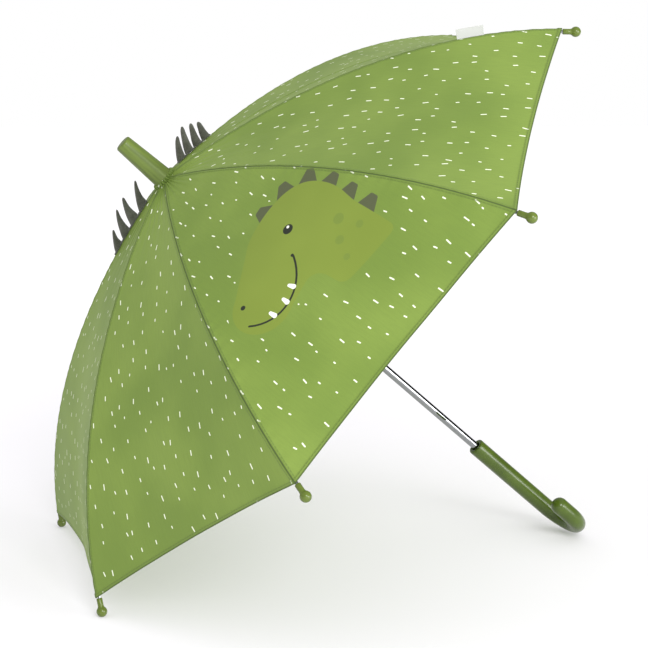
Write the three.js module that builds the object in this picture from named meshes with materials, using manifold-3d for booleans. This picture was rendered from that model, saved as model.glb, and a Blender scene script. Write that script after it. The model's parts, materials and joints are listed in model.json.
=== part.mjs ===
// A child's stick umbrella, open and lying on its rim and its crook handle. Millimetres, +Z up.
// Everything is drawn in the umbrella's own frame first: +Z runs up the stick to the ferrule, z = 0 is the
// plane of the eight tip balls, and +X points between the two ribs that touch the floor. The whole assembly
// is then laid down, so that those two tips and the bottom of the crook stand on z = 0.
import * as THREE from "three";
import { mergeVertices } from "three/addons/utils/BufferGeometryUtils.js";
import Module from "manifold-3d";

const wasm = await Module();
wasm.setup();

// ---- driving dimensions -------------------------------------------------------------------------------
const RIBS = 8;
const STEP = (2 * Math.PI) / RIBS;
const HALF = STEP / 2;
const FIRST_RIB = THREE.MathUtils.degToRad(157.5);

// The seam over a rib: an arc length, the radius where it starts, and the angle below the horizontal,
// which grows along it as START + BEND x + TIP_BEND x^2, with x from 0 at the crown to 1 at the ball.
const SEAM_LENGTH = 408.3;
const SEAM_START_RADIUS = 8.1;
const SEAM_ANGLE = { start: 0.1647, bend: 0.3926, tipBend: 0.2813 };
const SEAM_STEPS = 240;

const CLOTH = 0.8;
const CLOTH_GAP = 0.25;
const CLOTH_TO_TIP = 12.5;
const HEM_CUT = 6;
const CROSS_SAG = 0.03;

const SHAFT = { radius: 4, bore: 3.2, sides: 24 };
const FERRULE = { base: 10.5, end: 8.25, length: 52, round: 1.6, boreDepth: 26 };
const RUNNING_GAP = 0.4;

const RIB = { radius: 1.4, underSeam: 2.6, eye: 1.9, eyeHole: 1.05, eyeThick: 1.8, joinAt: 16, steps: 12 };
const PIVOT_UNDER_SEAM = 4.6;
const WIRE_RADIUS = 0.55;
const JOINT_AT = 0.45;
const JOINT_UNDER_RIB = 4.6;
const LUG = { radius: 2.6, thick: 1.2, hole: 1.35 };
const FORK = { radius: 2.6, inner: 1.0, thick: 0.9, root: 5.5 };
const BAR = { width: 3.8, deep: 2.4 };
const RIVET = { radius: 1.0, head: 1.9, headThick: 0.6, grip: 2.2 };

const TIP = { ball: 4.8, neck: 2.6, bore: 1.9, neckLength: 12, ribStopsShort: 4.6 };

const NOTCH = { radius: 12.5, up: 2.4, down: 3.2, groove: 0.95, slot: 3.2, slotFrom: 5.2 };
const SLEEVE = { bore: 4.6, radius: 7.5, length: 26, collar: 9.5, collarLength: 5 };
const WINDOW = { width: 2.8, from: 7, to: 22 };
const CATCH = { width: 1.6, leafFrom: 1.9, leafTo: 2.5, nose: 8.8, flat: 5, ramp: 7, leafEnd: 20 };
const CATCH_AZIMUTH = Math.PI / 2;
const TOP_CATCH_BELOW_RUNNER = 12.5;
const BOTTOM_CATCH_ABOVE_HANDLE = 53.3;

const HANDLE = { top: -255, tube: 8.8, bend: 25, bottom: -388, end: 15, boreDepth: 62, sides: 14 };
const HOOK_AZIMUTH = THREE.MathUtils.degToRad(97);

// The two rows of spikes lean one way, as one ridge that runs over the crown: the first row's lean is towards
// the crown and the second row's towards the rim. Places are along the seam, and heights are square to it.
const SPIKE_ROWS = [
  { rib: 5, from: 19.5, pitch: 16.5, lean: -17, heights: [21, 21.5, 20.5, 14] },
  { rib: 8, from: 14, pitch: 12, lean: 9, heights: [20, 24, 21, 17] },
];
const SPIKE = { thick: 5, tip: 1.3, base: 2, lift: 0.8 };
const STRAP = { rib: 7, from: 215, to: 345, width: 16, thick: 1.2, lift: 1.2, steps: 8 };

// ---- finishes -----------------------------------------------------------------------------------------
const finish = (color, roughness, metalness = 0) => new THREE.MeshStandardMaterial({ color, roughness, metalness });
const canopyCloth = finish("#84a04c", 0.85);
const greenPlastic = finish("#6c8237", 0.35);
const ferrulePlastic = finish("#7f9944", 0.4);
const chromedSteel = finish("#c4c6c8", 0.18, 1);
const zincSteel = finish("#9a9c9e", 0.4, 1);
const blackPlastic = finish("#2a2b29", 0.5);
const darkFelt = finish("#3f4036", 0.95);

// ---- helpers ------------------------------------------------------------------------------------------
const umbrella = new THREE.Group();

function addMesh(name, geometry, material) {
  const mesh = new THREE.Mesh(geometry, material);
  mesh.name = name;
  umbrella.add(mesh);
  return mesh;
}

function toSolid(geometry) {
  const bare = geometry.clone();
  bare.deleteAttribute("normal");
  bare.deleteAttribute("uv");
  const merged = mergeVertices(bare, 1e-4);
  const vertProperties = new Float32Array(merged.attributes.position.array);
  const triVerts = new Uint32Array(merged.index.array);
  return new wasm.Manifold(new wasm.Mesh({ numProp: 3, vertProperties, triVerts }));
}

function toGeometry(solid) {
  const mesh = solid.getMesh();
  const geometry = new THREE.BufferGeometry();
  geometry.setAttribute("position", new THREE.BufferAttribute(new Float32Array(mesh.vertProperties), 3));
  geometry.setIndex(new THREE.BufferAttribute(new Uint32Array(mesh.triVerts), 1));
  geometry.computeVertexNormals();
  return geometry;
}

// A turned piece about Z. The profile is a list of [radius, z], walked so that its faces point out.
function turned(profile, sides) {
  const points = profile.map(([r, z]) => new THREE.Vector2(r, z));
  return new THREE.LatheGeometry(points, sides).rotateX(Math.PI / 2);
}

// A plate cut from an outline in (radial, z), with its thickness across the rib's plane and centred on it.
function plate(shape, thick, curveSegments = 5) {
  const geometry = new THREE.ExtrudeGeometry(shape, { depth: thick, bevelEnabled: false, curveSegments });
  geometry.translate(0, 0, -thick / 2);
  geometry.rotateX(Math.PI / 2);
  return geometry;
}

function disc(radius, at) {
  const shape = new THREE.Shape();
  shape.absarc(at.x, at.z, radius, 0, 2 * Math.PI, false);
  return shape;
}

function pinHole(radius, at, reach = 12) {
  const pin = new THREE.CylinderGeometry(radius, radius, reach, 8);
  pin.translate(at.x, 0, at.z);
  return toSolid(pin);
}

// A closed skin round a row of equal rings, such as a rod along a path.
function loft(rings) {
  const size = rings[0].length;
  const position = [];
  const index = [];
  rings.forEach((ring) => ring.forEach((p) => position.push(p.x, p.y, p.z)));
  for (let i = 0; i + 1 < rings.length; i += 1) {
    for (let j = 0; j < size; j += 1) {
      const a = i * size + j;
      const b = i * size + ((j + 1) % size);
      index.push(a, b, a + size, b, b + size, a + size);
    }
  }
  const last = (rings.length - 1) * size;
  for (let j = 1; j + 1 < size; j += 1) {
    index.push(0, j + 1, j, last, last + j, last + j + 1);
  }
  const geometry = new THREE.BufferGeometry();
  geometry.setAttribute("position", new THREE.Float32BufferAttribute(position, 3));
  geometry.setIndex(index);
  geometry.computeVertexNormals();
  return geometry;
}

const inRibPlane = (x, z) => new THREE.Vector3(x, 0, z);
const ribAzimuth = (k) => FIRST_RIB - (k - 1) * STEP;

// ---- the seam profile ---------------------------------------------------------------------------------
const seamPoints = [];
{
  const angleAt = (x) => SEAM_ANGLE.start + SEAM_ANGLE.bend * x + SEAM_ANGLE.tipBend * x * x;
  let r = SEAM_START_RADIUS;
  let z = 0;
  for (let i = 0; i <= SEAM_STEPS; i += 1) {
    seamPoints.push({ r, z, angle: angleAt(i / SEAM_STEPS) });
    const middle = angleAt((i + 0.5) / SEAM_STEPS);
    r += (Math.cos(middle) * SEAM_LENGTH) / SEAM_STEPS;
    z -= (Math.sin(middle) * SEAM_LENGTH) / SEAM_STEPS;
  }
}
const RIM_DROP = -seamPoints[SEAM_STEPS].z;

// The seam at arc length s: radius, height and outward normal, in the rib's plane.
function seamAt(s) {
  const place = THREE.MathUtils.clamp((s / SEAM_LENGTH) * SEAM_STEPS, 0, SEAM_STEPS - 1e-6);
  const i = Math.floor(place);
  const t = place - i;
  const a = seamPoints[i];
  const b = seamPoints[i + 1];
  const angle = a.angle + (b.angle - a.angle) * t;
  return {
    r: a.r + (b.r - a.r) * t,
    z: RIM_DROP + a.z + (b.z - a.z) * t,
    normal: inRibPlane(Math.sin(angle), Math.cos(angle)),
  };
}

function underSeam(s, depth) {
  const { r, z, normal } = seamAt(s);
  return inRibPlane(r, z).addScaledVector(normal, -depth);
}

// ---- the linkage --------------------------------------------------------------------------------------
// A stretcher is as long as the distance from the notch pivot to the rib joint, and both of its ends run at
// the same radius, so the runner slides straight down the stick while every rib turns by the same angle.
const notchPivot = underSeam(0, PIVOT_UNDER_SEAM);
const ribJoint = underSeam(JOINT_AT * SEAM_LENGTH, RIB.underSeam + JOINT_UNDER_RIB);
const ballCentre = underSeam(SEAM_LENGTH, RIB.underSeam);
const runnerPivot = inRibPlane(notchPivot.x, 2 * ribJoint.z - notchPivot.z);

// ---- stick --------------------------------------------------------------------------------------------
const shaftTop = RIM_DROP + 24;
const shaftBottom = HANDLE.top - HANDLE.boreDepth + 2;
const topCatchZ = runnerPivot.z - TOP_CATCH_BELOW_RUNNER;
const bottomCatchZ = HANDLE.top + BOTTOM_CATCH_ABOVE_HANDLE;

function catchSlot(z, direction) {
  const height = CATCH.flat + CATCH.ramp + 2;
  const slot = new THREE.BoxGeometry(SHAFT.radius + 2, CATCH.width + 0.8, height);
  slot.translate((SHAFT.radius + 2) / 2, 0, z + (direction * (CATCH.flat - CATCH.ramp)) / 2);
  slot.rotateZ(CATCH_AZIMUTH);
  return toSolid(slot);
}

function makeShaft() {
  const { radius, bore, sides } = SHAFT;
  const tube = turned(
    [[bore, shaftBottom], [radius, shaftBottom], [radius, shaftTop], [bore, shaftTop], [bore, shaftBottom]],
    sides,
  );
  const cut = toSolid(tube).subtract(catchSlot(topCatchZ, 1)).subtract(catchSlot(bottomCatchZ, -1));
  addMesh("shaft", toGeometry(cut), chromedSteel);
}

// A spring catch: a leaf inside the tube and a nose that stands out of its slot. Its flat face holds the
// runner, and its ramp lets the runner ride over from the other side.
function makeCatch(name, z, direction) {
  const { leafFrom, leafTo, nose, flat, ramp, leafEnd, width } = CATCH;
  const outline = [
    [leafFrom, -leafEnd], [leafTo, -leafEnd], [leafTo, -ramp], [nose, flat - 1.2], [nose - 0.5, flat],
    [leafTo, flat], [leafTo, flat + 4], [leafFrom, flat + 4],
  ];
  const shape = new THREE.Shape(outline.map(([r, h]) => new THREE.Vector2(r, z + direction * h)));
  const geometry = plate(shape, width);
  geometry.rotateZ(CATCH_AZIMUTH);
  addMesh(name, geometry, zincSteel);
}

function makeFerrule() {
  const bottom = RIM_DROP + CLOTH / 2 + 0.5;
  const top = bottom + FERRULE.length;
  const bore = SHAFT.radius + RUNNING_GAP;
  const { base, end, round, boreDepth } = FERRULE;
  const profile = [
    [0, bottom + boreDepth], [bore, bottom + boreDepth], [bore, bottom], [base - 0.8, bottom],
    [base, bottom + 0.8], [end + 0.1, top - round], [end - 0.4, top - round * 0.35], [end - round, top], [0, top],
  ];
  addMesh("ferrule", turned(profile, 24), ferrulePlastic);
}

function makeHandle() {
  const { top, tube, bend, bottom, end, boreDepth, sides } = HANDLE;
  const bendZ = bottom + bend;
  const turns = [];
  for (let i = 0; i <= 10; i += 1) {
    const angle = (Math.PI * i) / 10;
    turns.push(new THREE.Vector3(bend * (1 - Math.cos(angle)), 0, bendZ - bend * Math.sin(angle)));
  }
  const points = [new THREE.Vector3(0, 0, top), ...turns, new THREE.Vector3(2 * bend, 0, bendZ + end)];
  const rings = points.map((p, i) => {
    const before = points[Math.max(i - 1, 0)];
    const after = points[Math.min(i + 1, points.length - 1)];
    const along = after.clone().sub(before).normalize();
    const side = new THREE.Vector3(0, 1, 0);
    const out = new THREE.Vector3().crossVectors(side, along);
    return Array.from({ length: sides }, (_, j) => {
      const a = (2 * Math.PI * j) / sides;
      return p.clone().addScaledVector(out, tube * Math.cos(a)).addScaledVector(side, tube * Math.sin(a));
    });
  });
  const roundEnd = new THREE.SphereGeometry(tube * 0.98, 16, 10);
  roundEnd.translate(2 * bend, 0, bendZ + end);
  const bore = new THREE.CylinderGeometry(SHAFT.radius + RUNNING_GAP, SHAFT.radius + RUNNING_GAP, 2 * boreDepth, 20);
  bore.rotateX(Math.PI / 2);
  bore.translate(0, 0, top);
  const geometry = toGeometry(toSolid(loft(rings)).add(toSolid(roundEnd)).subtract(toSolid(bore)));
  geometry.rotateZ(HOOK_AZIMUTH);
  addMesh("handle", geometry, greenPlastic);
}

// ---- notch and runner: rings with a slot for each eye and a groove for the wire that threads them ------
function slotted(profile, pivotZ, sides) {
  let body = toSolid(turned(profile, sides));
  for (let k = 1; k <= RIBS; k += 1) {
    const length = NOTCH.radius + 2 - NOTCH.slotFrom;
    const slot = new THREE.BoxGeometry(length, NOTCH.slot, 2 * (NOTCH.up + NOTCH.down));
    slot.translate(NOTCH.slotFrom + length / 2, 0, pivotZ + NOTCH.up - NOTCH.down + 0.4);
    slot.rotateZ(ribAzimuth(k));
    body = body.subtract(toSolid(slot));
  }
  return body;
}

function wireGroove(pivotZ) {
  const floor = notchPivot.x - WIRE_RADIUS - RUNNING_GAP;
  return [
    [NOTCH.radius, pivotZ - NOTCH.groove], [floor, pivotZ - NOTCH.groove],
    [floor, pivotZ + NOTCH.groove], [NOTCH.radius, pivotZ + NOTCH.groove],
  ];
}

function makeNotch() {
  const bore = SHAFT.radius + RUNNING_GAP;
  const { z } = notchPivot;
  const low = z - NOTCH.down;
  const high = z + NOTCH.up;
  const profile = [
    [bore, low], [NOTCH.radius, low], ...wireGroove(z), [NOTCH.radius, high], [bore, high], [bore, low],
  ];
  addMesh("top_notch", toGeometry(slotted(profile, z, 32)), blackPlastic);
}

function makeRunner() {
  const { bore, radius, length, collar, collarLength } = SLEEVE;
  const { z } = runnerPivot;
  const low = z - length;
  const profile = [
    [bore, low], [collar - 1, low], [collar, low + 1], [collar, low + collarLength - 1],
    [radius, low + collarLength + 1], [radius, z - NOTCH.down], [NOTCH.radius, z - NOTCH.down],
    ...wireGroove(z), [NOTCH.radius, z + NOTCH.up], [bore, z + NOTCH.up], [bore, low],
  ];
  const window = new THREE.BoxGeometry(12, WINDOW.width, WINDOW.to - WINDOW.from);
  window.translate(6 + 2, 0, z - (WINDOW.from + WINDOW.to) / 2);
  window.rotateZ(CATCH_AZIMUTH);
  addMesh("runner", toGeometry(slotted(profile, z + 3, 32).subtract(toSolid(window))), blackPlastic);
}

function makeWire(name, pivotZ) {
  const wire = new THREE.TorusGeometry(notchPivot.x, WIRE_RADIUS, 5, 24);
  wire.translate(0, 0, pivotZ);
  addMesh(name, wire, zincSteel);
}

// ---- ribs, stretchers, rivets and tips: drawn in the plane of azimuth 0, then turned to their own --------
function rod(path, radius) {
  const side = new THREE.Vector3(0, 1, 0);
  const rings = path.map((p, i) => {
    const before = path[Math.max(i - 1, 0)];
    const after = path[Math.min(i + 1, path.length - 1)];
    const along = after.clone().sub(before).normalize();
    const out = new THREE.Vector3().crossVectors(side, along);
    return Array.from({ length: 6 }, (_, j) => {
      const a = (Math.PI * j) / 3;
      return p.clone().addScaledVector(out, radius * Math.cos(a)).addScaledVector(side, radius * Math.sin(a));
    });
  });
  return toSolid(loft(rings));
}

function ribSolid() {
  const path = [notchPivot.clone()];
  const end = SEAM_LENGTH - TIP.ribStopsShort;
  for (let i = 0; i <= RIB.steps; i += 1) {
    path.push(underSeam(RIB.joinAt + ((end - RIB.joinAt) * i) / RIB.steps, RIB.underSeam));
  }
  const eye = toSolid(plate(disc(RIB.eye, notchPivot), RIB.eyeThick));
  const lugTop = underSeam(JOINT_AT * SEAM_LENGTH, RIB.underSeam);
  const across = seamAt(JOINT_AT * SEAM_LENGTH).normal;
  const along = new THREE.Vector3(across.z, 0, -across.x);
  const corner = (base, sign) => {
    const p = base.clone().addScaledVector(along, sign * LUG.radius);
    return new THREE.Vector2(p.x, p.z);
  };
  const tab = new THREE.Shape([corner(ribJoint, -1), corner(ribJoint, 1), corner(lugTop, 1), corner(lugTop, -1)]);
  return rod(path, RIB.radius)
    .add(eye)
    .add(toSolid(plate(tab, LUG.thick)))
    .add(toSolid(plate(disc(LUG.radius, ribJoint), LUG.thick)))
    .subtract(pinHole(RIB.eyeHole, notchPivot))
    .subtract(pinHole(LUG.hole, ribJoint));
}

function stretcherSolid() {
  const along = ribJoint.clone().sub(runnerPivot).normalize();
  const up = new THREE.Vector3(-along.z, 0, along.x);
  const at = (from, distance, lift) => {
    const p = from.clone().addScaledVector(along, distance).addScaledVector(up, lift);
    return new THREE.Vector2(p.x, p.z);
  };
  const strip = (start, startAt, end, endAt, deep) =>
    new THREE.Shape([
      at(start, startAt, -deep / 2), at(end, endAt, -deep / 2), at(end, endAt, deep / 2), at(start, startAt, deep / 2),
    ]);
  const wide = plate(strip(runnerPivot, FORK.root + 8, ribJoint, -FORK.root, BAR.deep), BAR.width);
  const tongue = plate(strip(runnerPivot, 0, runnerPivot, FORK.root + 9, BAR.deep), RIB.eyeThick);
  let body = toSolid(wide)
    .add(toSolid(tongue))
    .add(toSolid(plate(disc(RIB.eye, runnerPivot), RIB.eyeThick)));
  for (const sign of [-1, 1]) {
    const offset = sign * (FORK.inner + FORK.thick / 2);
    const cheek = plate(disc(FORK.radius, ribJoint), FORK.thick);
    const web = plate(strip(ribJoint, -FORK.root - 0.5, ribJoint, 0, BAR.deep), FORK.thick);
    cheek.translate(0, offset, 0);
    web.translate(0, offset, 0);
    body = body.add(toSolid(cheek)).add(toSolid(web));
  }
  return body.subtract(pinHole(RIB.eyeHole, runnerPivot)).subtract(pinHole(LUG.hole, ribJoint));
}

function rivetGeometry() {
  const { radius, head, headThick, grip } = RIVET;
  const outer = grip + headThick;
  const profile = [
    [0, -outer], [head, -outer], [head, -grip], [radius, -grip], [radius, grip], [head, grip], [head, outer],
    [0, outer],
  ];
  const geometry = turned(profile, 8);
  geometry.rotateX(Math.PI / 2);
  geometry.translate(ribJoint.x, 0, ribJoint.z);
  return geometry;
}

function tipGeometry() {
  const { ball, neck, bore, neckLength, ribStopsShort } = TIP;
  const meets = Math.asin(neck / ball);
  const profile = [[0, -ribStopsShort + 0.6], [bore, -ribStopsShort + 0.6], [bore, -neckLength], [neck, -neckLength]];
  const arcs = 5;
  for (let i = 0; i <= arcs; i += 1) {
    const angle = ((Math.PI - meets) * (arcs - i)) / arcs;
    profile.push([i === arcs ? 0 : ball * Math.sin(angle), ball * Math.cos(angle)]);
  }
  const geometry = turned(profile, 10);
  const along = ballCentre.clone().sub(underSeam(SEAM_LENGTH - neckLength, RIB.underSeam)).normalize();
  geometry.applyQuaternion(new THREE.Quaternion().setFromUnitVectors(new THREE.Vector3(0, 0, 1), along));
  geometry.translate(ballCentre.x, 0, ballCentre.z);
  return geometry;
}

// ---- canopy: each panel is two halves, from the seam over a rib to the panel's middle line ---------------
// side is +1 for the half on the anticlockwise side of rib k, and -1 for the other.
function halfPanel(k, side, across = 2, along = 11) {
  const middle = ribAzimuth(k) + side * HALF;
  const out = new THREE.Vector3(Math.cos(middle), Math.sin(middle), 0);
  const toRib = new THREE.Vector3(Math.sin(middle), -Math.cos(middle), 0).multiplyScalar(side);
  const point = (x, t) => {
    const s = x * (SEAM_LENGTH - CLOTH_TO_TIP - HEM_CUT * (1 - t * t));
    const seam = seamAt(s);
    const half = seam.r * Math.sin(HALF);
    const sag = 2 * half * CROSS_SAG * (1 - t * t);
    const radius = seam.r * Math.cos(HALF) - sag * seam.normal.x;
    const width = CLOTH_GAP + (half - 2 * CLOTH_GAP) * t;
    return out.clone().multiplyScalar(radius).addScaledVector(toRib, width).setZ(seam.z - sag * seam.normal.z);
  };
  const rows = [];
  for (const lift of [CLOTH / 2, -CLOTH / 2]) {
    for (let i = 0; i <= along; i += 1) {
      for (let j = 0; j <= across; j += 1) {
        const x = i / along;
        const t = j / across;
        const d = 1e-3;
        const du = point(Math.min(x + d, 1), t).sub(point(Math.max(x - d, 0), t));
        const dv = point(x, Math.min(t + d, 1)).sub(point(x, Math.max(t - d, 0)));
        const normal = new THREE.Vector3().crossVectors(du, dv).normalize();
        if (normal.z < 0) normal.negate();
        rows.push(point(x, t).addScaledVector(normal, lift));
      }
    }
  }
  const wide = across + 1;
  const layer = wide * (along + 1);
  const index = [];
  const quad = (a, b, c, d) => index.push(a, b, c, a, c, d);
  for (let i = 0; i < along; i += 1) {
    for (let j = 0; j < across; j += 1) {
      const a = i * wide + j;
      quad(a, a + wide, a + wide + 1, a + 1);
      quad(a + layer, a + layer + 1, a + layer + wide + 1, a + layer + wide);
    }
  }
  for (let i = 0; i < along; i += 1) {
    const a = i * wide;
    const b = a + across;
    quad(a, a + layer, a + layer + wide, a + wide);
    quad(b, b + wide, b + wide + layer, b + layer);
  }
  for (let j = 0; j < across; j += 1) {
    const b = along * wide + j;
    quad(j, j + 1, j + 1 + layer, j + layer);
    quad(b, b + layer, b + layer + 1, b + 1);
  }
  if (side > 0) {
    for (let i = 0; i < index.length; i += 3) [index[i], index[i + 1]] = [index[i + 1], index[i]];
  }
  const geometry = new THREE.BufferGeometry();
  geometry.setAttribute("position", new THREE.Float32BufferAttribute(rows.flatMap((p) => [p.x, p.y, p.z]), 3));
  geometry.setIndex(index);
  geometry.computeVertexNormals();
  return geometry;
}

// A row of padded spikes that stands on a seam: a low strip, and one leaning claw for each height.
function spikeRow({ from, pitch, lean, heights }) {
  const { thick, tip, base, lift } = SPIKE;
  const onSeam = (s, h) => {
    const { r, z, normal } = seamAt(s);
    return new THREE.Vector2(r + normal.x * (lift + h), z + normal.z * (lift + h));
  };
  const outline = [];
  heights.forEach((height, i) => {
    const s = from + i * pitch;
    const point = s + pitch / 2 + lean;
    outline.push(onSeam(s, base), onSeam(s + (point - tip - s) * 0.55, height * 0.5), onSeam(point - tip, height));
    outline.push(onSeam(point + tip, height), onSeam(s + pitch + (point + tip - s - pitch) * 0.55, height * 0.5));
  });
  outline.push(onSeam(from + heights.length * pitch, base));
  for (let i = heights.length; i >= 0; i -= 1) outline.push(onSeam(from + i * pitch, 0));
  return plate(new THREE.Shape(outline), thick);
}

// The tie strap lies along a seam on the far side, sewn down at its upper end.
function strapGeometry() {
  const { from, to, width, thick, lift, steps } = STRAP;
  const rings = [];
  for (let i = 0; i <= steps; i += 1) {
    const { r, z, normal } = seamAt(from + ((to - from) * i) / steps);
    const low = inRibPlane(r, z).addScaledVector(normal, lift);
    const high = inRibPlane(r, z).addScaledVector(normal, lift + thick);
    const [left, right] = [-width / 2, width / 2];
    rings.push([low.clone().setY(left), low.setY(right), high.clone().setY(right), high.setY(left)]);
  }
  return loft(rings);
}

// ---- assembly -----------------------------------------------------------------------------------------
makeShaft();
makeHandle();
makeFerrule();
makeNotch();
makeRunner();
makeWire("notch_wire", notchPivot.z);
makeWire("runner_wire", runnerPivot.z);
makeCatch("top_catch", topCatchZ, 1);
makeCatch("bottom_catch", bottomCatchZ, -1);

const rib = ribSolid();
const stretcher = stretcherSolid();
for (let k = 1; k <= RIBS; k += 1) {
  const turn = ribAzimuth(k);
  addMesh(`rib_${k}`, toGeometry(rib), zincSteel).rotation.z = turn;
  addMesh(`stretcher_${k}`, toGeometry(stretcher), zincSteel).rotation.z = turn;
  addMesh(`rivet_${k}`, rivetGeometry(), zincSteel).rotation.z = turn;
  addMesh(`tip_${k}`, tipGeometry(), greenPlastic).rotation.z = turn;
  addMesh(`panel_${k}_left`, halfPanel(k, 1), canopyCloth);
  addMesh(`panel_${k}_right`, halfPanel(k, -1), canopyCloth);
}
SPIKE_ROWS.forEach((row) => {
  addMesh(`spikes_${row.rib}`, spikeRow(row), darkFelt).rotation.z = ribAzimuth(row.rib);
});
addMesh("tie_strap", strapGeometry(), canopyCloth).rotation.z = ribAzimuth(STRAP.rib);

// ---- laying it down -----------------------------------------------------------------------------------
// Two tip balls and the crook touch the floor: reach cos a + ball = drop sin a + tube gives the tilt a.
const reach = ballCentre.x * Math.cos(HALF);
const drop = ballCentre.z - HANDLE.bottom;
const tilt = Math.acos((HANDLE.tube - TIP.ball) / Math.hypot(reach, drop)) - Math.atan2(drop, reach);
const c = Math.cos(tilt);
const s = Math.sin(tilt);
umbrella.matrixAutoUpdate = false;
umbrella.matrix.set(-s, 0, -c, 0, 0, -1, 0, 0, -c, 0, s, 0, 0, 0, 0, 1);

const group = new THREE.Group();
group.add(umbrella);
group.updateMatrixWorld(true);
const box = new THREE.Box3().setFromObject(group, true);
group.position.set(-(box.min.x + box.max.x) / 2, -(box.min.y + box.max.y) / 2, -box.min.z);
group.updateMatrixWorld(true);

export default group;
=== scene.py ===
# %% [markdown]
# # A child's dinosaur umbrella
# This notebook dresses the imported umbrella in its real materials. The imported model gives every
# place and size, and each piece made here takes its position from it. The cloth, the claws, the
# stick, the handle, the ferrule and the tips are modelled again in finer detail. The frame under
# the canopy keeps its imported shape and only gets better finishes.

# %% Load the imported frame
import json
import math

import bmesh
import bpy
import numpy as np
from mathutils import Matrix, Vector, noise


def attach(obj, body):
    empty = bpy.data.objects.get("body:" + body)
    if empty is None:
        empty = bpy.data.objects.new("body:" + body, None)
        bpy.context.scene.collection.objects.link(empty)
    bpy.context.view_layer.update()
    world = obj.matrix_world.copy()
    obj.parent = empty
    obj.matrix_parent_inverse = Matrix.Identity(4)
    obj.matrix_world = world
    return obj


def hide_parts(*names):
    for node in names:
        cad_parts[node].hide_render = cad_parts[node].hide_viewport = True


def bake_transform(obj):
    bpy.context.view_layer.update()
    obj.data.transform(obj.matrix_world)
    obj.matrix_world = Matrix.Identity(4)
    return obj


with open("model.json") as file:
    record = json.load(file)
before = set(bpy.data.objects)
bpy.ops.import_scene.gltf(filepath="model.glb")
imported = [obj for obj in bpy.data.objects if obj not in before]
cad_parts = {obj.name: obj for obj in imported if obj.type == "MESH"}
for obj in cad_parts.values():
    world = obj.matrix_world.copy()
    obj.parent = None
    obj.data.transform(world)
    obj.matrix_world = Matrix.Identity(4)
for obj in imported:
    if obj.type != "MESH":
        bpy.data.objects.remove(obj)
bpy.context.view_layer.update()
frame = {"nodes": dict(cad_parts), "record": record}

# %% [markdown]
# ## The umbrella's own axes
# The umbrella lies tilted on its rim and its crook, so its parts are easier to describe along the
# stick. The mount at the end of the ferrule gives the stick's direction and place. A point is then
# written as (x, y, z) in millimetres: z runs up the stick from the plane of the eight tips, and y
# points out through the printed panel. One function turns such points into metres in the frame.

# %% The umbrella's axes
FERRULE_END_Z = 228.7046  # The ferrule's end above the plane of the tips.
ferrule_mount = next(m for m in frame["record"]["mounts"] if m["name"] == "ferrule_end")
STICK = Vector(ferrule_mount["axis"]).normalized()
FRONT = Vector((0, -1, 0))
ACROSS = FRONT.cross(STICK)
AXES = np.array([ACROSS, FRONT, STICK])
ORIGIN = np.array(ferrule_mount["pos_m"]) - np.array(STICK) * FERRULE_END_Z / 1000
RIBS = 8
HALF_ANGLE = math.pi / RIBS


def in_frame(points):
    """Points in the umbrella's axes, in millimetres, as points in the frame, in metres."""
    return np.asarray(points, float) @ AXES / 1000 + ORIGIN


def rib_azimuth(k):
    """Rib 1 stands highest, and the others follow clockwise, seen from the ferrule."""
    return math.radians(157.5 - 45 * (k - 1))


def around(r, azimuth, z):
    """Points at a radius, a direction and a height round the stick."""
    return np.stack(np.broadcast_arrays(r * np.cos(azimuth), r * np.sin(azimuth), z), -1)


print("tilt of the stick:", round(math.degrees(math.asin(STICK.z)), 2), "degrees")

# %% [markdown]
# ## The camera
# The camera stands a little to the left of the printed panel, about nine degrees above the floor.
# A long lens from a metre and a half away keeps the canopy's shape close to what the eye
# remembers, with only a slight perspective.

# %% The camera
TARGET = Vector((-0.0115, 0, 0.2310))
AZIMUTH, ELEVATION, ROLL = (math.radians(a) for a in (-17.0, 9.34, 0.55))
DISTANCE, LENS = 1.5073, 84.03

back = Vector((
    math.sin(AZIMUTH) * math.cos(ELEVATION),
    -math.cos(AZIMUTH) * math.cos(ELEVATION),
    math.sin(ELEVATION),
))
camera = bpy.data.objects.new("camera", bpy.data.cameras.new("camera"))
bpy.context.collection.objects.link(camera)
camera.data.lens = LENS
camera.data.sensor_width = 36
camera.data.clip_end = 50
turn = back.to_track_quat("Z", "Y").to_matrix().to_4x4()
camera.matrix_world = (
    Matrix.Translation(TARGET + back * DISTANCE) @ turn @ Matrix.Rotation(ROLL, 4, "Z")
)
bpy.context.scene.camera = camera
print("camera at", [round(v, 3) for v in camera.location])

# %% [markdown]
# ## Colours and nodes
# Colours are easy to compare as sRGB hex values, but a shader works in linear light, so one
# function turns one into the other. A second one adds a node with its settings and its links, so
# that a material reads from top to bottom like a recipe.

# %% Colours


def linear(hex_colour):
    """#rrggbb as a linear colour with alpha."""
    values = [int(hex_colour[i:i + 2], 16) / 255 for i in (1, 3, 5)]
    return [v / 12.92 if v <= 0.04045 else ((v + 0.055) / 1.055) ** 2.4 for v in values] + [1]


print("leaf green in linear light:", [round(v, 3) for v in linear("#84a04c")[:3]])

# %% Nodes


def add(tree, kind, settings=None, **inputs):
    """Adds a shader node. Settings are its properties. An input is named after its socket, or is
    an underscore and the socket's number. It takes a value, a socket, or a node, which stands for
    its first output."""
    node = tree.nodes.new("ShaderNode" + kind)
    for key, value in (settings or {}).items():
        setattr(node, key, value)
    for key, value in inputs.items():
        socket = node.inputs[int(key[1:]) if key[1:].isdigit() else key.replace("_", " ")]
        if isinstance(value, bpy.types.Node):
            value = value.outputs[0]
        if isinstance(value, bpy.types.NodeSocket):
            tree.links.new(value, socket)
        else:
            socket.default_value = value
    return node


def new_material(name):
    """A new material and its empty tree of nodes."""
    material = bpy.data.materials.new(name)
    material.use_nodes = True
    material.node_tree.nodes.clear()
    return material, material.node_tree


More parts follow.
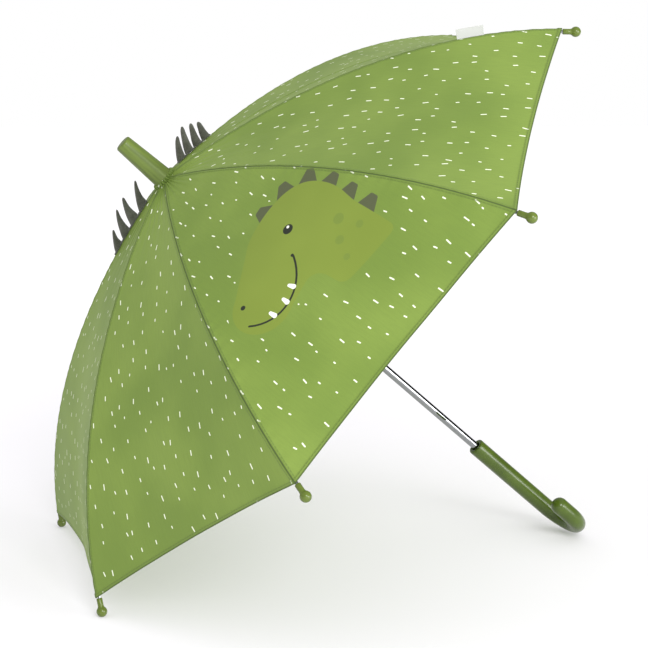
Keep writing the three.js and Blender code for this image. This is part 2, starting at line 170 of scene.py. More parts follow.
# A Mix node set to colours has its factor on input 0, its colours on 6 and 7, and its result on
# output 2. A Map Range node set to smooth steps goes from one value to the other without a corner.
COLOURS = {"data_type": "RGBA"}
SMOOTH = {"interpolation_type": "SMOOTHSTEP"}
print("settings used by several nodes:", COLOURS, SMOOTH)

# %% [markdown]
# ## Meshes from rows of points
# Most of this umbrella is made of surfaces that are swept: the cloth runs along a curve, and the
# plastic parts are rings along a path. So one function joins rows of points into faces, and the
# rest only has to say where the rows are.

# %% Mesh helpers


def mesh_piece(name, points, faces, material):
    """A new smooth object from points in the umbrella's axes."""
    mesh = bpy.data.meshes.new(name)
    mesh.from_pydata(in_frame(points).tolist(), [], faces)
    mesh.validate()
    mesh.materials.append(material)
    mesh.polygons.foreach_set("use_smooth", [True] * len(mesh.polygons))
    piece = bpy.data.objects.new(name, mesh)
    bpy.context.collection.objects.link(piece)
    return piece


def quads(rows, columns, first=0, closed=False, flip=False):
    """The faces between rows of points. A closed row is a ring."""
    faces = []
    for i in range(rows - 1):
        for j in range(columns if closed else columns - 1):
            a, b = first + i * columns + j, first + i * columns + (j + 1) % columns
            face = (a, b, b + columns, a + columns)
            faces.append(face[::-1] if flip else face)
    return faces


def thicken(piece, millimetres, offset=-1):
    """Gives a sheet its thickness, inwards, or to both sides with an offset of 0. Its open edges
    are marked as sharp first, so that the new rim doesn't bend the shading next to it."""
    mesh = piece.data
    edge_of_corner = np.empty(len(mesh.loops), int)
    mesh.loops.foreach_get("edge_index", edge_of_corner)
    border = np.bincount(edge_of_corner, minlength=len(mesh.edges)) == 1
    mesh.attributes.new("sharp_edge", "BOOLEAN", "EDGE").data.foreach_set("value", border)
    solid = piece.modifiers.new("thickness", "SOLIDIFY")
    solid.thickness, solid.offset = millimetres / 1000, offset


print("faces between 3 rings of 8 points:", len(quads(3, 8, closed=True)))

# %% [markdown]
# ## The canopy's shape
# A canopy is eight triangles of cloth, sewn together over the ribs and pulled tight by them. Along
# a rib the seam is a curve whose slope grows slowly towards the rim. Between two ribs the cloth is
# nearly straight, but sags a little. The umbrella folds, so each triangle is made as two halves
# that meet on its middle line, where the pleat forms. The next cell repeats the seam curve of the
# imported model, so that the cloth lies exactly where its solid is.

# %% The seam curve
SEAM_LENGTH, SEAM_START_RADIUS = 408.3, 8.1
SLOPE_START, SLOPE_BEND, SLOPE_TIP = 0.1647, 0.3926, 0.2813  # In radians.
STEPS = 240
CLOTH_LENGTH = SEAM_LENGTH - 12.5  # The tips take the last 12.5 mm.

share = np.arange(STEPS + 1) / STEPS
middle_share = (np.arange(STEPS) + 0.5) / STEPS
slope = SLOPE_START + SLOPE_BEND * share + SLOPE_TIP * share**2
middle_slope = SLOPE_START + SLOPE_BEND * middle_share + SLOPE_TIP * middle_share**2
step = SEAM_LENGTH / STEPS
seam_r = SEAM_START_RADIUS + np.concatenate([[0], np.cumsum(np.cos(middle_slope) * step)])
seam_z = np.concatenate([[0], -np.cumsum(np.sin(middle_slope) * step)])
seam_z -= seam_z[-1]
CROWN_Z = seam_z[0]


def seam_at(s):
    """Radius, height and slope of the seam, s millimetres along it from the crown."""
    x = np.clip(np.asarray(s, float) / SEAM_LENGTH, 0, 1)
    return np.interp(x, share, seam_r), np.interp(x, share, seam_z), np.interp(x, share, slope)


def on_rib(k, s, height, aside=0.0):
    """A point at height above the seam of rib k, square to it, and aside from the rib's plane."""
    r, z, a = seam_at(s)
    flat = around(r + height * np.sin(a), rib_azimuth(k), z + height * np.cos(a))
    sideways = np.array([-math.sin(rib_azimuth(k)), math.cos(rib_azimuth(k)), 0])
    return flat + np.asarray(aside, float)[..., None] * sideways


print("crown", round(CROWN_Z, 2), "mm above the tips; rim radius", round(seam_r[-1], 1), "mm")

# %% [markdown]
# ## The printed dinosaur
# One panel carries a printed picture. Here it is a friendly dinosaur's head of our own drawing, in
# profile, with rounded plates down its neck. A print has crisp edges, but a mesh is coarse, so the
# mesh doesn't hold the colours. Each point holds how deep it lies inside each shape, in
# millimetres, and the material cuts the colour exactly where that depth crosses zero.

# %% Depth inside round shapes


def depth_in_drop(p, start, start_radius, end, end_radius):
    """Depth inside a thick stroke whose radius changes from one end to the other."""
    start, end = np.array(start, float), np.array(end, float)
    along = end - start
    t = np.clip(((p - start) @ along) / max(along @ along, 1e-9), 0, 1)
    distance = np.linalg.norm(p - start - t[:, None] * along, axis=1)
    return start_radius + (end_radius - start_radius) * t - distance


def depth_in_disc(p, centre, radius):
    """Depth inside a round dot."""
    return radius - np.linalg.norm(p - np.array(centre, float), axis=1)


def melt(a, b, width):
    """Two depths as one shape, with a soft hollow where they meet."""
    h = np.clip(0.5 + 0.5 * (a - b) / width, 0, 1)
    return b + (a - b) * h + width * h * (1 - h)


print("middle of a 5 mm disc:", depth_in_disc(np.zeros((1, 2)), (0, 0), 5)[0], "mm deep")

# %% Depth inside a shape with corners


def depth_in_corner_shape(p, corners, rounding):
    """Depth inside a convex outline with rounded corners."""
    corners = np.array(corners, float)
    following = np.roll(corners, -1, 0)
    if (corners[:, 0] * following[:, 1] - corners[:, 1] * following[:, 0]).sum() < 0:
        corners = corners[::-1]
    inward = np.full(len(p), 1e9)
    nearest = np.full(len(p), 1e9)
    for a, b in zip(corners, np.roll(corners, -1, 0)):
        edge = b - a
        normal = np.array([-edge[1], edge[0]]) / np.linalg.norm(edge)
        inward = np.minimum(inward, (p - a) @ normal)
        t = np.clip(((p - a) @ edge) / (edge @ edge), 0, 1)
        nearest = np.minimum(nearest, np.linalg.norm(p - a - t[:, None] * edge, axis=1))
    return np.where(inward > 0, nearest, -nearest) + rounding


square = [(-5, -5), (5, -5), (5, 5), (-5, 5)]
print("middle of a square:", depth_in_corner_shape(np.zeros((1, 2)), square, 1)[0], "mm deep")

# %% The plates of the crest, in millimetres across the panel and down from the crown
SKULL, SKULL_RADIUS = (27, 229), 44
PLATES, FIRST_PLATE, PLATE_STEP = 6, 8, 25
PLATE_HALF, PLATE_HEIGHT, PLATE_TOP_HALF, PLATE_ROUNDING = 8.5, 13, 2.5, 2.2
PLATE_ROOT = 3  # So deep the plates stand in the head.
CREST_START = math.radians(-108)
NECK_LEAN = 0.04


def plate_places():
    """Where each plate of the crest stands, round the skull and then down the neck, and the
    direction that it points in."""
    arc = -CREST_START * SKULL_RADIUS
    for d in FIRST_PLATE + PLATE_STEP * np.arange(PLATES):
        if d < arc:
            a = CREST_START + d / SKULL_RADIUS
            out = np.array([math.cos(a), math.sin(a)])
            yield np.array(SKULL) + out * (SKULL_RADIUS - PLATE_ROOT), out
        else:
            aside = SKULL_RADIUS - PLATE_ROOT + (d - arc) * NECK_LEAN
            yield np.array(SKULL) + (aside, d - arc), np.array([1, -NECK_LEAN])


def depth_in_plates(p):
    """Depth inside the crest's plates, which are narrower at the top and have round corners."""
    depth = np.full(len(p), -1e9)
    for base, out in plate_places():
        side = np.array([-out[1], out[0]])
        top = base + out * PLATE_HEIGHT
        corners = [base - side * PLATE_HALF, base - out * 2, base + side * PLATE_HALF,
                   top + side * PLATE_TOP_HALF, top - side * PLATE_TOP_HALF]
        depth = np.maximum(depth, depth_in_corner_shape(p, corners, PLATE_ROUNDING))
    return depth


print("plates on the crest:", len(list(plate_places())))

# %% The head and the face
# A drop is (start, its radius, end, its radius), and a disc is (centre, radius).
SNOUT = ((8, 233), 41, (-42, 257), 29)
NECK = ((38, 250), 33, (43, 330), 31)
SNOUT_MELT, NECK_MELT, CUT_MELT = 14, 16, 9
NECK_END, NECK_END_SLOPE = 309, 0.10
MOUTH = np.array([(-64, 262), (-46, 287), (-12, 284), (5, 248)], float)  # A Bezier curve's points.
MOUTH_POINTS, MOUTH_RADIUS = 17, 0.95
EYE, NOSTRIL, DIMPLE = ((21, 221), 5), ((-55, 243), 2.3), ((5, 246), 1.6)
EYE_SHINE = ((22.6, 219.2), 1.5)
TEETH = (((-44, 275.5), (-44.5, 270)), ((-29, 276.5), (-29, 271)), ((-15.5, 271), (-17, 266)))
TOOTH_ROOT, TOOTH_TIP = 2.3, 1.5
SPOTS = (((52, 262), 5.2), ((38, 277), 4.2), ((58, 284), 3.6), ((30, 294), 3.2))


def picture(p):
    """The depth of each point inside each part of the picture."""
    head = melt(depth_in_disc(p, SKULL, SKULL_RADIUS), depth_in_drop(p, *SNOUT), SNOUT_MELT)
    head = melt(head, depth_in_drop(p, *NECK), NECK_MELT)
    head = -melt(-head, p[:, 1] - NECK_END - NECK_END_SLOPE * p[:, 0], CUT_MELT)
    t = np.linspace(0, 1, MOUTH_POINTS)[:, None]
    weights = ((1 - t) ** 3, 3 * t * (1 - t) ** 2, 3 * t * t * (1 - t), t**3)
    mouth = sum(weight * corner for weight, corner in zip(weights, MOUTH))
    ink = [depth_in_drop(p, a, MOUTH_RADIUS, b, MOUTH_RADIUS) for a, b in zip(mouth, mouth[1:])]
    ink += [depth_in_disc(p, *dot) for dot in (EYE, NOSTRIL, DIMPLE)]
    teeth = [depth_in_drop(p, root, TOOTH_ROOT, tip, TOOTH_TIP) for root, tip in TEETH]
    white = np.maximum(np.minimum(np.max(teeth, axis=0), head), depth_in_disc(p, *EYE_SHINE))
    return {
        "head": head,
        "plates": depth_in_plates(p),
        "ink": np.max(ink, axis=0),
        "white": white,
        "spots": np.max([depth_in_disc(p, *spot) for spot in SPOTS], axis=0),
    }


PICTURE_PARTS = list(picture(np.zeros((1, 2))))
print("parts of the picture:", PICTURE_PARTS)

# %% [markdown]
# ## Canopy cloth
# The canopy is polyester pongee, a thin plain weave with a soft shine, dyed green and printed all
# over with short pale dashes. Its threads are about 0.1 mm apart, too fine to see from here, so the
# weave is drawn 1.4 mm apart and very faint. The dashes come from a cell pattern: each cell has a
# point, and a short rounded stroke is drawn round it, turned and stretched by the cell's own chance
# values. The hem and the seams darken the cloth, because it lies double there.

# %% The dyed ground
STREAK_COUNTS = (600, 60, 1)  # Streaks to a metre, across the cloth and along it.


def dyed_ground(tree, cloth):
    """The dyed cloth: slow changes of shade, and thread-long streaks."""
    drift = add(tree, "TexNoise", {"noise_dimensions": "2D"}, Vector=cloth, Scale=9, Detail=2)
    shade = add(tree, "MapRange", SMOOTH, Value=drift, From_Min=0.3, From_Max=0.7)
    ground = add(tree, "Mix", COLOURS, _0=shade, _6=linear("#6c8434"), _7=linear("#788f3c"))
    drawn = add(tree, "VectorMath", {"operation": "MULTIPLY"}, _0=cloth, _1=STREAK_COUNTS)
    streaks = add(tree, "TexNoise", {"noise_dimensions": "2D"}, Vector=drawn, Scale=1, Detail=2)
    faint = add(tree, "MapRange", SMOOTH, Value=streaks, From_Min=0.35, From_Max=0.7, To_Max=0.12)
    ground = add(tree, "Mix", COLOURS, _0=faint, _6=ground.outputs[2], _7=linear("#5f7431"))
    return ground.outputs[2], shade, streaks


print("streaks:", 1000 / STREAK_COUNTS[1], "mm long")

# %% The printed dashes
DASH_SPACING, DASH_WIDTH = 19.5, 1.15
DASH_SHORTEST, DASH_LONGEST = 1.2, 5.0
DASH_TURN = math.radians(24)
DASH_STRAY = 0.72  # 0 puts the dashes on a square grid, and 1 strews them freely.


def printed_dashes(tree, millimetres):
    """How much of a printed dash lies on each point, from 0 to 1."""
    scaled = add(tree, "VectorMath", {"operation": "SCALE"}, _0=millimetres, Scale=1 / DASH_SPACING)
    cell = add(tree, "TexVoronoi", {"voronoi_dimensions": "2D"}, Vector=scaled, Scale=1,
               Randomness=DASH_STRAY).outputs
    chance = add(tree, "SeparateColor", _0=cell["Color"]).outputs
    offset = add(tree, "VectorMath", {"operation": "SUBTRACT"}, _0=scaled, _1=cell["Position"])
    offset = add(tree, "VectorMath", {"operation": "SCALE"}, _0=offset, Scale=DASH_SPACING)
    either_way = add(tree, "Math", {"operation": "SUBTRACT"}, _0=chance[0], _1=0.5)
    angle = add(tree, "Math", {"operation": "MULTIPLY"}, _0=either_way, _1=DASH_TURN)
    turned = add(tree, "VectorRotate", {"rotation_type": "Z_AXIS"}, Vector=offset, Angle=angle)
    local = add(tree, "SeparateXYZ", _0=turned).outputs
    reach = add(tree, "Math", {"operation": "MULTIPLY_ADD"}, _0=chance[1],
                _1=(DASH_LONGEST - DASH_SHORTEST) / 2, _2=DASH_SHORTEST / 2)
    lengthways = add(tree, "Math", {"operation": "ABSOLUTE"}, _0=local[1])
    past_end = add(tree, "Math", {"operation": "SUBTRACT"}, _0=lengthways, _1=reach)
    past_end = add(tree, "Math", {"operation": "MAXIMUM"}, _0=past_end, _1=0)
    square = add(tree, "Math", {"operation": "MULTIPLY"}, _0=local[0], _1=local[0])
    square = add(tree, "Math", {"operation": "MULTIPLY_ADD"}, _0=past_end, _1=past_end, _2=square)
    distance = add(tree, "Math", {"operation": "SQRT"}, _0=square)
    return add(tree, "MapRange", SMOOTH, Value=distance, From_Min=DASH_WIDTH / 2 - 0.15,
               From_Max=DASH_WIDTH / 2 + 0.2, To_Min=1, To_Max=0)


print("one dash to about", DASH_SPACING, "by", DASH_SPACING, "mm of cloth")

# %% The printed picture
PRINT_SOFTNESS = 0.25  # Millimetres over which one ink gives way to the next.
CLEAR_FROM, CLEAR_TO = -5, -4  # The dashes stop 4 to 5 mm short of the picture.


def printed_picture(tree, colour, shade, dashes):
    """The cloth's colour with the dinosaur on it, and the dashes that it leaves."""
    depth, inside = {}, {}
    for part in PICTURE_PARTS:
        depth[part] = add(tree, "Attribute", {"attribute_name": part}).outputs["Fac"]
        inside[part] = add(tree, "MapRange", SMOOTH, Value=depth[part], From_Min=-PRINT_SOFTNESS,
                           From_Max=PRINT_SOFTNESS)
    nearest = add(tree, "Math", {"operation": "MAXIMUM"}, _0=depth["head"], _1=depth["plates"])
    clear = add(tree, "MapRange", SMOOTH, Value=nearest, From_Min=CLEAR_FROM, From_Max=CLEAR_TO,
                To_Min=1, To_Max=0)
    dashes = add(tree, "Math", {"operation": "MULTIPLY"}, _0=dashes, _1=clear)
    skin = add(tree, "Mix", COLOURS, _0=shade, _6=linear("#748630"), _7=linear("#7a8c34"))
    spots = add(tree, "Math", {"operation": "MULTIPLY"}, _0=inside["spots"], _1=0.55)
    skin = add(tree, "Mix", COLOURS, _0=spots, _6=skin.outputs[2], _7=linear("#687d33"))
    not_white = add(tree, "Math", {"operation": "SUBTRACT"}, _0=1, _1=inside["white"])
    ink = add(tree, "Math", {"operation": "MULTIPLY"}, _0=inside["ink"], _1=not_white)
    for cover, print_colour in (
        (inside["plates"], linear("#50563a")), (inside["head"], skin.outputs[2]),
        (inside["white"], linear("#f3f4e9")), (ink, linear("#23281f")),
    ):
        colour = add(tree, "Mix", COLOURS, _0=cover, _6=colour, _7=print_colour).outputs[2]
    return colour, dashes


print("inks meet over", 2 * PRINT_SOFTNESS, "mm")

# %% Seams and hems
SEAM_ALLOWANCE, HEM_WIDTH = 3.0, 3.6
SEAM_STITCHES, HEM_STITCHES, STITCH_PITCH = 2.3, 2.9, 3.4


def sewn_edges(tree, colour, from_seam, from_hem, run):
    """The cloth's colour where it lies double, with lines of stitches, and the stitches alone."""
    doubled, stitches = [], []
    for distance, double_to, fade, cover, line, along in (
        (from_seam, SEAM_ALLOWANCE, 0.5, 0.30, SEAM_STITCHES, run[1]),
        (from_hem, HEM_WIDTH, 0.4, 0.25, HEM_STITCHES, run[0]),
    ):
        doubled.append(add(tree, "MapRange", SMOOTH, Value=distance, From_Min=double_to,
                           From_Max=double_to + fade, To_Min=cover, To_Max=0))
        off_line = add(tree, "Math", {"operation": "SUBTRACT"}, _0=distance, _1=line)
        off_line = add(tree, "Math", {"operation": "ABSOLUTE"}, _0=off_line)
        thread = add(tree, "MapRange", SMOOTH, Value=off_line, From_Min=0.25, From_Max=0.5,
                     To_Min=1, To_Max=0)
        beat = add(tree, "Math", {"operation": "PINGPONG"}, _0=along, _1=STITCH_PITCH / 2)
        gaps = add(tree, "MapRange", SMOOTH, Value=beat, From_Min=0.3, From_Max=0.55)
        stitches.append(add(tree, "Math", {"operation": "MULTIPLY"}, _0=thread, _1=gaps))
    doubled, stitches = (
        add(tree, "Math", {"operation": "MAXIMUM"}, _0=pair[0], _1=pair[1])
        for pair in (doubled, stitches)
    )
    # The dark line along a seam; on the ruffle it is painted shade in the inner folds.
    seam_line_and_fold_shade = add(tree, "MapRange", SMOOTH, Value=from_seam, From_Min=0.25, From_Max=0.95,
                    To_Min=0.85, To_Max=0)
    hem_edge = add(tree, "MapRange", SMOOTH, Value=from_hem, From_Min=0.6, From_Max=1.7,
                   To_Min=0.8, To_Max=0)
    threads = add(tree, "Math", {"operation": "MULTIPLY"}, _0=stitches, _1=0.55)
    for cover, shade in (
        (doubled, "#5a7030"), (seam_line_and_fold_shade, "#3e5024"), (hem_edge, "#3f5122"), (threads, "#516629"),
    ):
        colour = add(tree, "Mix", COLOURS, _0=cover, _6=colour, _7=linear(shade)).outputs[2]
    return colour, stitches


print("seams doubled over", SEAM_ALLOWANCE, "mm, hems over", HEM_WIDTH, "mm")

# %% The weave
WEAVE_DRAWN = 1.4
WAVE_UNIT = 2 * math.pi / 20  # A Wave texture of scale 1 repeats every 0.314 units.


def woven_relief(tree, millimetres, stitches, streaks):
    """The cloth's relief: two directions of thread, and stitches that pull the cloth in."""
    warp, weft = (
        add(tree, "TexWave", {"bands_direction": direction}, Vector=millimetres,
            Scale=WAVE_UNIT / WEAVE_DRAWN, Distortion=0.6).outputs[1]
        for direction in ("X", "Y")
    )
    relief = add(tree, "Math", {"operation": "ADD"}, _0=warp, _1=weft)
    relief = add(tree, "Math", {"operation": "MULTIPLY"}, _0=relief, _1=0.02)
    for height, amount in ((stitches, -0.12), (streaks, 0.05)):
        relief = add(tree, "Math", {"operation": "MULTIPLY_ADD"}, _0=height, _1=amount, _2=relief)
    return relief


print("threads drawn", WEAVE_DRAWN, "mm apart")

# %% The two cloths


def pongee(name, printed):
    """Polyester pongee: satin shine, a faint weave, and pale printed dashes."""
    material, tree = new_material(name)
    cloth = add(tree, "UVMap", {"uv_map": "cloth"})
    millimetres = add(tree, "VectorMath", {"operation": "SCALE"}, _0=cloth, Scale=1000)
    edges = add(tree, "SeparateXYZ", _0=add(tree, "UVMap", {"uv_map": "edges"})).outputs
    from_seam, from_hem = (
        add(tree, "Math", {"operation": "MULTIPLY"}, _0=edge, _1=1000) for edge in edges[:2]
    )
    run = add(tree, "SeparateXYZ", _0=millimetres).outputs
    colour, shade, streaks = dyed_ground(tree, cloth)
    dashes = printed_dashes(tree, millimetres)
    if printed:
        colour, dashes = printed_picture(tree, colour, shade, dashes)
    pale = add(tree, "Math", {"operation": "MULTIPLY"}, _0=dashes, _1=0.92)
    colour = add(tree, "Mix", COLOURS, _0=pale, _6=colour, _7=linear("#eef2dd")).outputs[2]
    colour, stitches = sewn_edges(tree, colour, from_seam, from_hem, run)
    relief = woven_relief(tree, millimetres, stitches, streaks)
    bump = add(tree, "Bump", Height=relief, Strength=0.5, Distance=0.001)
    shader = add(
        tree, "BsdfPrincipled", Base_Color=colour, Normal=bump, Roughness=0.62, IOR=1.5,
        Specular_IOR_Level=0.35, Sheen_Weight=0.16, Sheen_Roughness=0.45,
        Sheen_Tint=linear("#c9dd9a"),
    )
    add(tree, "OutputMaterial", Surface=shader)
    return material


plain_pongee = pongee("polyester_pongee", printed=False)
printed_pongee = pongee("polyester_pongee_printed", printed=True)
for material in (plain_pongee, printed_pongee):
    print(material.name, "has", len(material.node_tree.nodes), "nodes")

# %% [markdown]
# ## The sixteen cloth halves
# Each half is a grid. Its columns get closer together near the seam and its rows near the hem, so
# that the seam's ridge and the folded hem are real geometry. The cloth isn't perfectly smooth: it
# puckers along the stitching, makes small radial folds where it is gathered at the crown, and waves
# a little in the middle of a panel. All of these fade out on the middle line or are the same on
# both sides of it, so two halves meet without a step.

# %% The grid of one half
CLOTH_THICK, OUTER_LIFT = 0.4, 0.3
HEM_ROWS = [4.4, 3.9, 3.5, 2.4, 1.2, 0.35]  # Millimetres from the hem.
SEAM_COLUMNS = [7, 4.5, 3.2, 2.6, 1.7, 0.9, 0.4, 0]  # Millimetres from the seam.
FULL_COLUMNS_FROM = 16  # A half narrower than this draws its seam columns closer together.
HEM_CUT = 6  # The hem is cut back so far at the middle of a panel.
LAST_ROW = CLOTH_LENGTH - 6  # The hem's own rows come after it.
PLAIN_ROWS = np.linspace(0, LAST_ROW, 96)
PRINTED_ROWS = np.concatenate([
    np.linspace(0, 162, 54), np.arange(163, 318, 1.1), np.linspace(320, LAST_ROW, 24),
])
PLAIN_COLUMNS, PRINTED_COLUMNS = 26, 112


def half_grid(rows, columns):
    """Share of the cloth's length, share of the half's width, and length along the seam."""
    x = np.concatenate([rows / CLOTH_LENGTH, 1 - np.array(HEM_ROWS) / CLOTH_LENGTH, [1]])
    share_of_half = np.linspace(0, 1, columns)
    grid = []
    for xi in x:
        half = seam_at(xi * CLOTH_LENGTH)[0] * math.sin(HALF_ANGLE)
        near = np.array(SEAM_COLUMNS) * min(1, half / FULL_COLUMNS_FROM)
        width = np.concatenate([share_of_half[:-1] * (half - near[0]), half - near])
        t = width / half
        s = xi * (CLOTH_LENGTH - HEM_CUT * (1 - t * t))
        grid.append(np.stack([np.full_like(t, xi), t, s], -1))
    return np.array(grid)


for rows, columns in ((PLAIN_ROWS, PLAIN_COLUMNS), (PRINTED_ROWS, PRINTED_COLUMNS)):
    print("rows, columns and values of a grid:", half_grid(rows, columns).shape)

# %% The ripples in the cloth
DRAPE, PUCKER, GATHER, RIDGE, DITCH = 2.0, 0.28, 0.85, 0.35, 0.5  # Millimetres.
PUCKER_LENGTH = 13


def cloth_ripples(k, side, s, width, half, t):
    """How far the cloth stands above its smooth shape, in millimetres."""
    panel = k if side > 0 else k + 1
    places = [Vector((-side * w / 70, si / 110, panel * 3.7)) for w, si in zip(width, s)]
    calm = np.array([noise.noise(place) for place in places])
    drape = DRAPE * calm * (1 - t**2) * np.clip(s / 120, 0, 1)
    from_seam = half - width
    phase = np.array([noise.noise(Vector((si / 30, k * 5.1, 0))) for si in s]) * 5
    pucker = PUCKER * np.sin(2 * math.pi * s / PUCKER_LENGTH + phase)
    pucker *= np.exp(-from_seam / 7) * np.clip(from_seam / 1.5, 0, 1)
    gathers = GATHER * (np.cos(6 * math.pi * t) - 1) * np.exp(-s / 38) * np.clip(s / 10, 0, 1)
    ridge = RIDGE * np.exp(-(((from_seam - 1.6) / 1.1) ** 2))
    ditch = DITCH * np.exp(-((from_seam / 0.45) ** 2))
    return drape + pucker + gathers + ridge - ditch


print("a panel waves by up to", DRAPE, "mm")

# %% The smooth panel
CROSS_SAG = 0.03  # Sag at the middle line, as a share of the panel's width.


def panel_surface(k, side, t, s):
    """Points of one half, t of the way to the rib and s along the seam, and its width there."""
    middle = rib_azimuth(k) + side * HALF_ANGLE
    out = np.array([math.cos(middle), math.sin(middle), 0])
    to_rib = side * np.array([math.sin(middle), -math.cos(middle), 0])
    r, z, a = seam_at(s)
    half = r * math.sin(HALF_ANGLE)
    sag = 2 * half * CROSS_SAG * (1 - t * t)
    radius = r * math.cos(HALF_ANGLE) - sag * np.sin(a)
    point = radius[:, None] * out + (half * t)[:, None] * to_rib
    point[:, 2] = z - sag * np.cos(a)
    return point, half


def outward_normal(k, side, t, s):
    """The direction square to the panel, on its outer side."""
    down = panel_surface(k, side, t, s + 0.5)[0] - panel_surface(k, side, t, s - 0.5)[0]
    aside = panel_surface(k, side, t + 0.004, s)[0] - panel_surface(k, side, t - 0.004, s)[0]
    normal = np.cross(down, aside)
    normal /= np.linalg.norm(normal, axis=1)[:, None]
    return normal * np.sign(normal[:, 2:3])


half_hem = panel_surface(1, 1, np.ones(1), np.array([CLOTH_LENGTH]))[1]
print("a panel is", round(2 * float(half_hem[0]), 1), "mm wide at the hem")

# %% One cloth half
PRINTED_HALVES = {(2, -1), (3, 1)}
HEM_LIFT = 0.3
PANEL_STEP = 0.7  # Metres between two panels' cloth, so that no two have the same print.


def cloth_layers(mesh, cloth, edges):
    """The cloth's two UV maps, from one value per point: the place on the cloth, and the distances
    to the seam and the hem, all in metres. Next to the seam the material draws a dark line, which
    the ruffle also uses as painted shade in its inner folds."""
    corner = np.empty(len(mesh.loops), int)
    mesh.loops.foreach_get("vertex_index", corner)
    for name, values in (("cloth", cloth), ("edges", edges)):
        layer = mesh.uv_layers.new(name=name)
        layer.uv.foreach_set("vector", values[corner].astype(np.float32).ravel())


def cloth_half(k, side):
    """One half, the share of the way to the rib of each of its points, and its flat area."""
    printed = (k, side) in PRINTED_HALVES
    if printed:
        grid, cloth_material = half_grid(PRINTED_ROWS, PRINTED_COLUMNS), printed_pongee
    else:
        grid, cloth_material = half_grid(PLAIN_ROWS, PLAIN_COLUMNS), plain_pongee
    n_rows, n_columns = grid.shape[:2]
    x, t, s = grid.reshape(-1, 3).T
    point, half = panel_surface(k, side, t, s)
    normal = outward_normal(k, side, t, s)
    width = half * t
    from_seam = half - width
    from_hem = (1 - x) * CLOTH_LENGTH
    lift = OUTER_LIFT + cloth_ripples(k, side, s, width, half, t)
    lift += HEM_LIFT * np.clip((HEM_WIDTH + 0.3 - from_hem) / 0.4, 0, 1)
    point = point + normal * lift[:, None]

    name = f"cloth_{k}_{'left' if side > 0 else 'right'}"
    faces = quads(n_rows, n_columns, flip=side < 0)
    piece = mesh_piece(name, point, faces, cloth_material)
    mesh = piece.data
    if (mesh.polygons[0].normal @ Vector(in_frame([normal[0]])[0] - ORIGIN)) < 0:
        mesh.flip_normals()
    panel = k if side > 0 else k + 1
    cloth = np.stack([-side * width / 1000 + panel * PANEL_STEP, s / 1000], -1)
    cloth_layers(mesh, cloth, np.stack([from_seam / 1000, from_hem / 1000], -1))
    if printed:
        for part, depth in picture(np.stack([-side * width, s], -1)).items():
            values = mesh.attributes.new(part, "FLOAT", "POINT").data
            values.foreach_set("value", depth.astype(np.float32))
    thicken(piece, CLOTH_THICK)
    return piece, t, sum(polygon.area for polygon in mesh.polygons)


print("printed halves:", len(PRINTED_HALVES), "of", 2 * RIBS)

# %% All sixteen halves
FOLD_SHARE = 0.45  # The bend is spread over so much of a half, next to its rib.

for k in range(1, RIBS + 1):
    for side, word in ((1, "left"), (-1, "right")):
        piece, t, flat_area = cloth_half(k, side)
        seam_end = in_frame(on_rib(k, 200, 0))
        middle_end = in_frame(around(150, rib_azimuth(k) + side * HALF_ANGLE, 100))
        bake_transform(piece)
        turn_share = np.clip((1 - t) / FOLD_SHARE, 0, 1)
        turn_share = turn_share**2 * (3 - 2 * turn_share)
        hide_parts(f"panel_{k}_{word}")

# %% [markdown]
# ## The ruffle at the crown
# Where the eight panels meet, the cloth is gathered round the stick and stands up under the ferrule
# as a small pleated collar. It is one strip of the same pongee, folded into narrow pleats, so it is
# modelled as a ring whose radius goes in and out with each pleat.

# %% The ruffle
PLEATS, POINTS_IN_PLEAT, RUFFLE_LEVELS = 26, 8, 6
RUFFLE_INNER, RUFFLE_OUTER, RUFFLE_HEIGHT = 10.8, 13.6, 3.6
LEVEL_SHIFT = 0.8  # How far the pleats wander round the stick as they rise.

angles = np.linspace(0, 2 * math.pi, PLEATS * POINTS_IN_PLEAT, endpoint=False)
ruffle_rows = []
for level in np.linspace(0, 1, RUFFLE_LEVELS):
    deep = 0.35 + 0.65 * math.sin(math.pi * (0.15 + 0.7 * level))
    wave = 0.5 + 0.5 * np.cos(angles * PLEATS + LEVEL_SHIFT * math.sin(3 * level))
    r = RUFFLE_INNER + (RUFFLE_OUTER - RUFFLE_INNER) * wave * deep - 0.5 * level
    z = CROWN_Z - 0.9 + RUFFLE_HEIGHT * level + 0.25 * wave * level
    ruffle_rows.append(around(r, angles, z))
faces = quads(RUFFLE_LEVELS, len(angles), closed=True)
ruffle = mesh_piece("crown_ruffle", np.concatenate(ruffle_rows), faces, plain_pongee)

level, column = np.divmod(np.arange(RUFFLE_LEVELS * len(angles)), len(angles))
# The inner folds are given a tiny distance to the seam, so the seam's dark line paints shade into
# them.
fold = 1 + np.cos(angles[column] * PLEATS + LEVEL_SHIFT * np.sin(0.6 * level))
cloth_layers(
    ruffle.data,
    cloth=np.stack([0.9 + 0.0004 * column, 0.002 * level], -1),
    edges=np.stack([0.0003 + 0.0013 * fold, np.full_like(fold, 0.02)], -1),
)
thicken(ruffle, CLOTH_THICK)
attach(ruffle, "stick")

# %% [markdown]
# ## The claws on the back
# Two rows of dark claws stand on the seams like a dinosaur's crest. On such an umbrella they are
# sewn from felt and filled, so they are thick in the middle, thin at the edges, and never quite
# alike. Each claw is lofted from rounded sections along a bent middle line, and a low strip of the
# same felt joins a row to its seam. Subdivision then softens everything.

# %% Felt
FELT_FIBRE = 0.6  # Drawn 0.6 mm apart, where real felt fibres are nearer 0.03 mm.


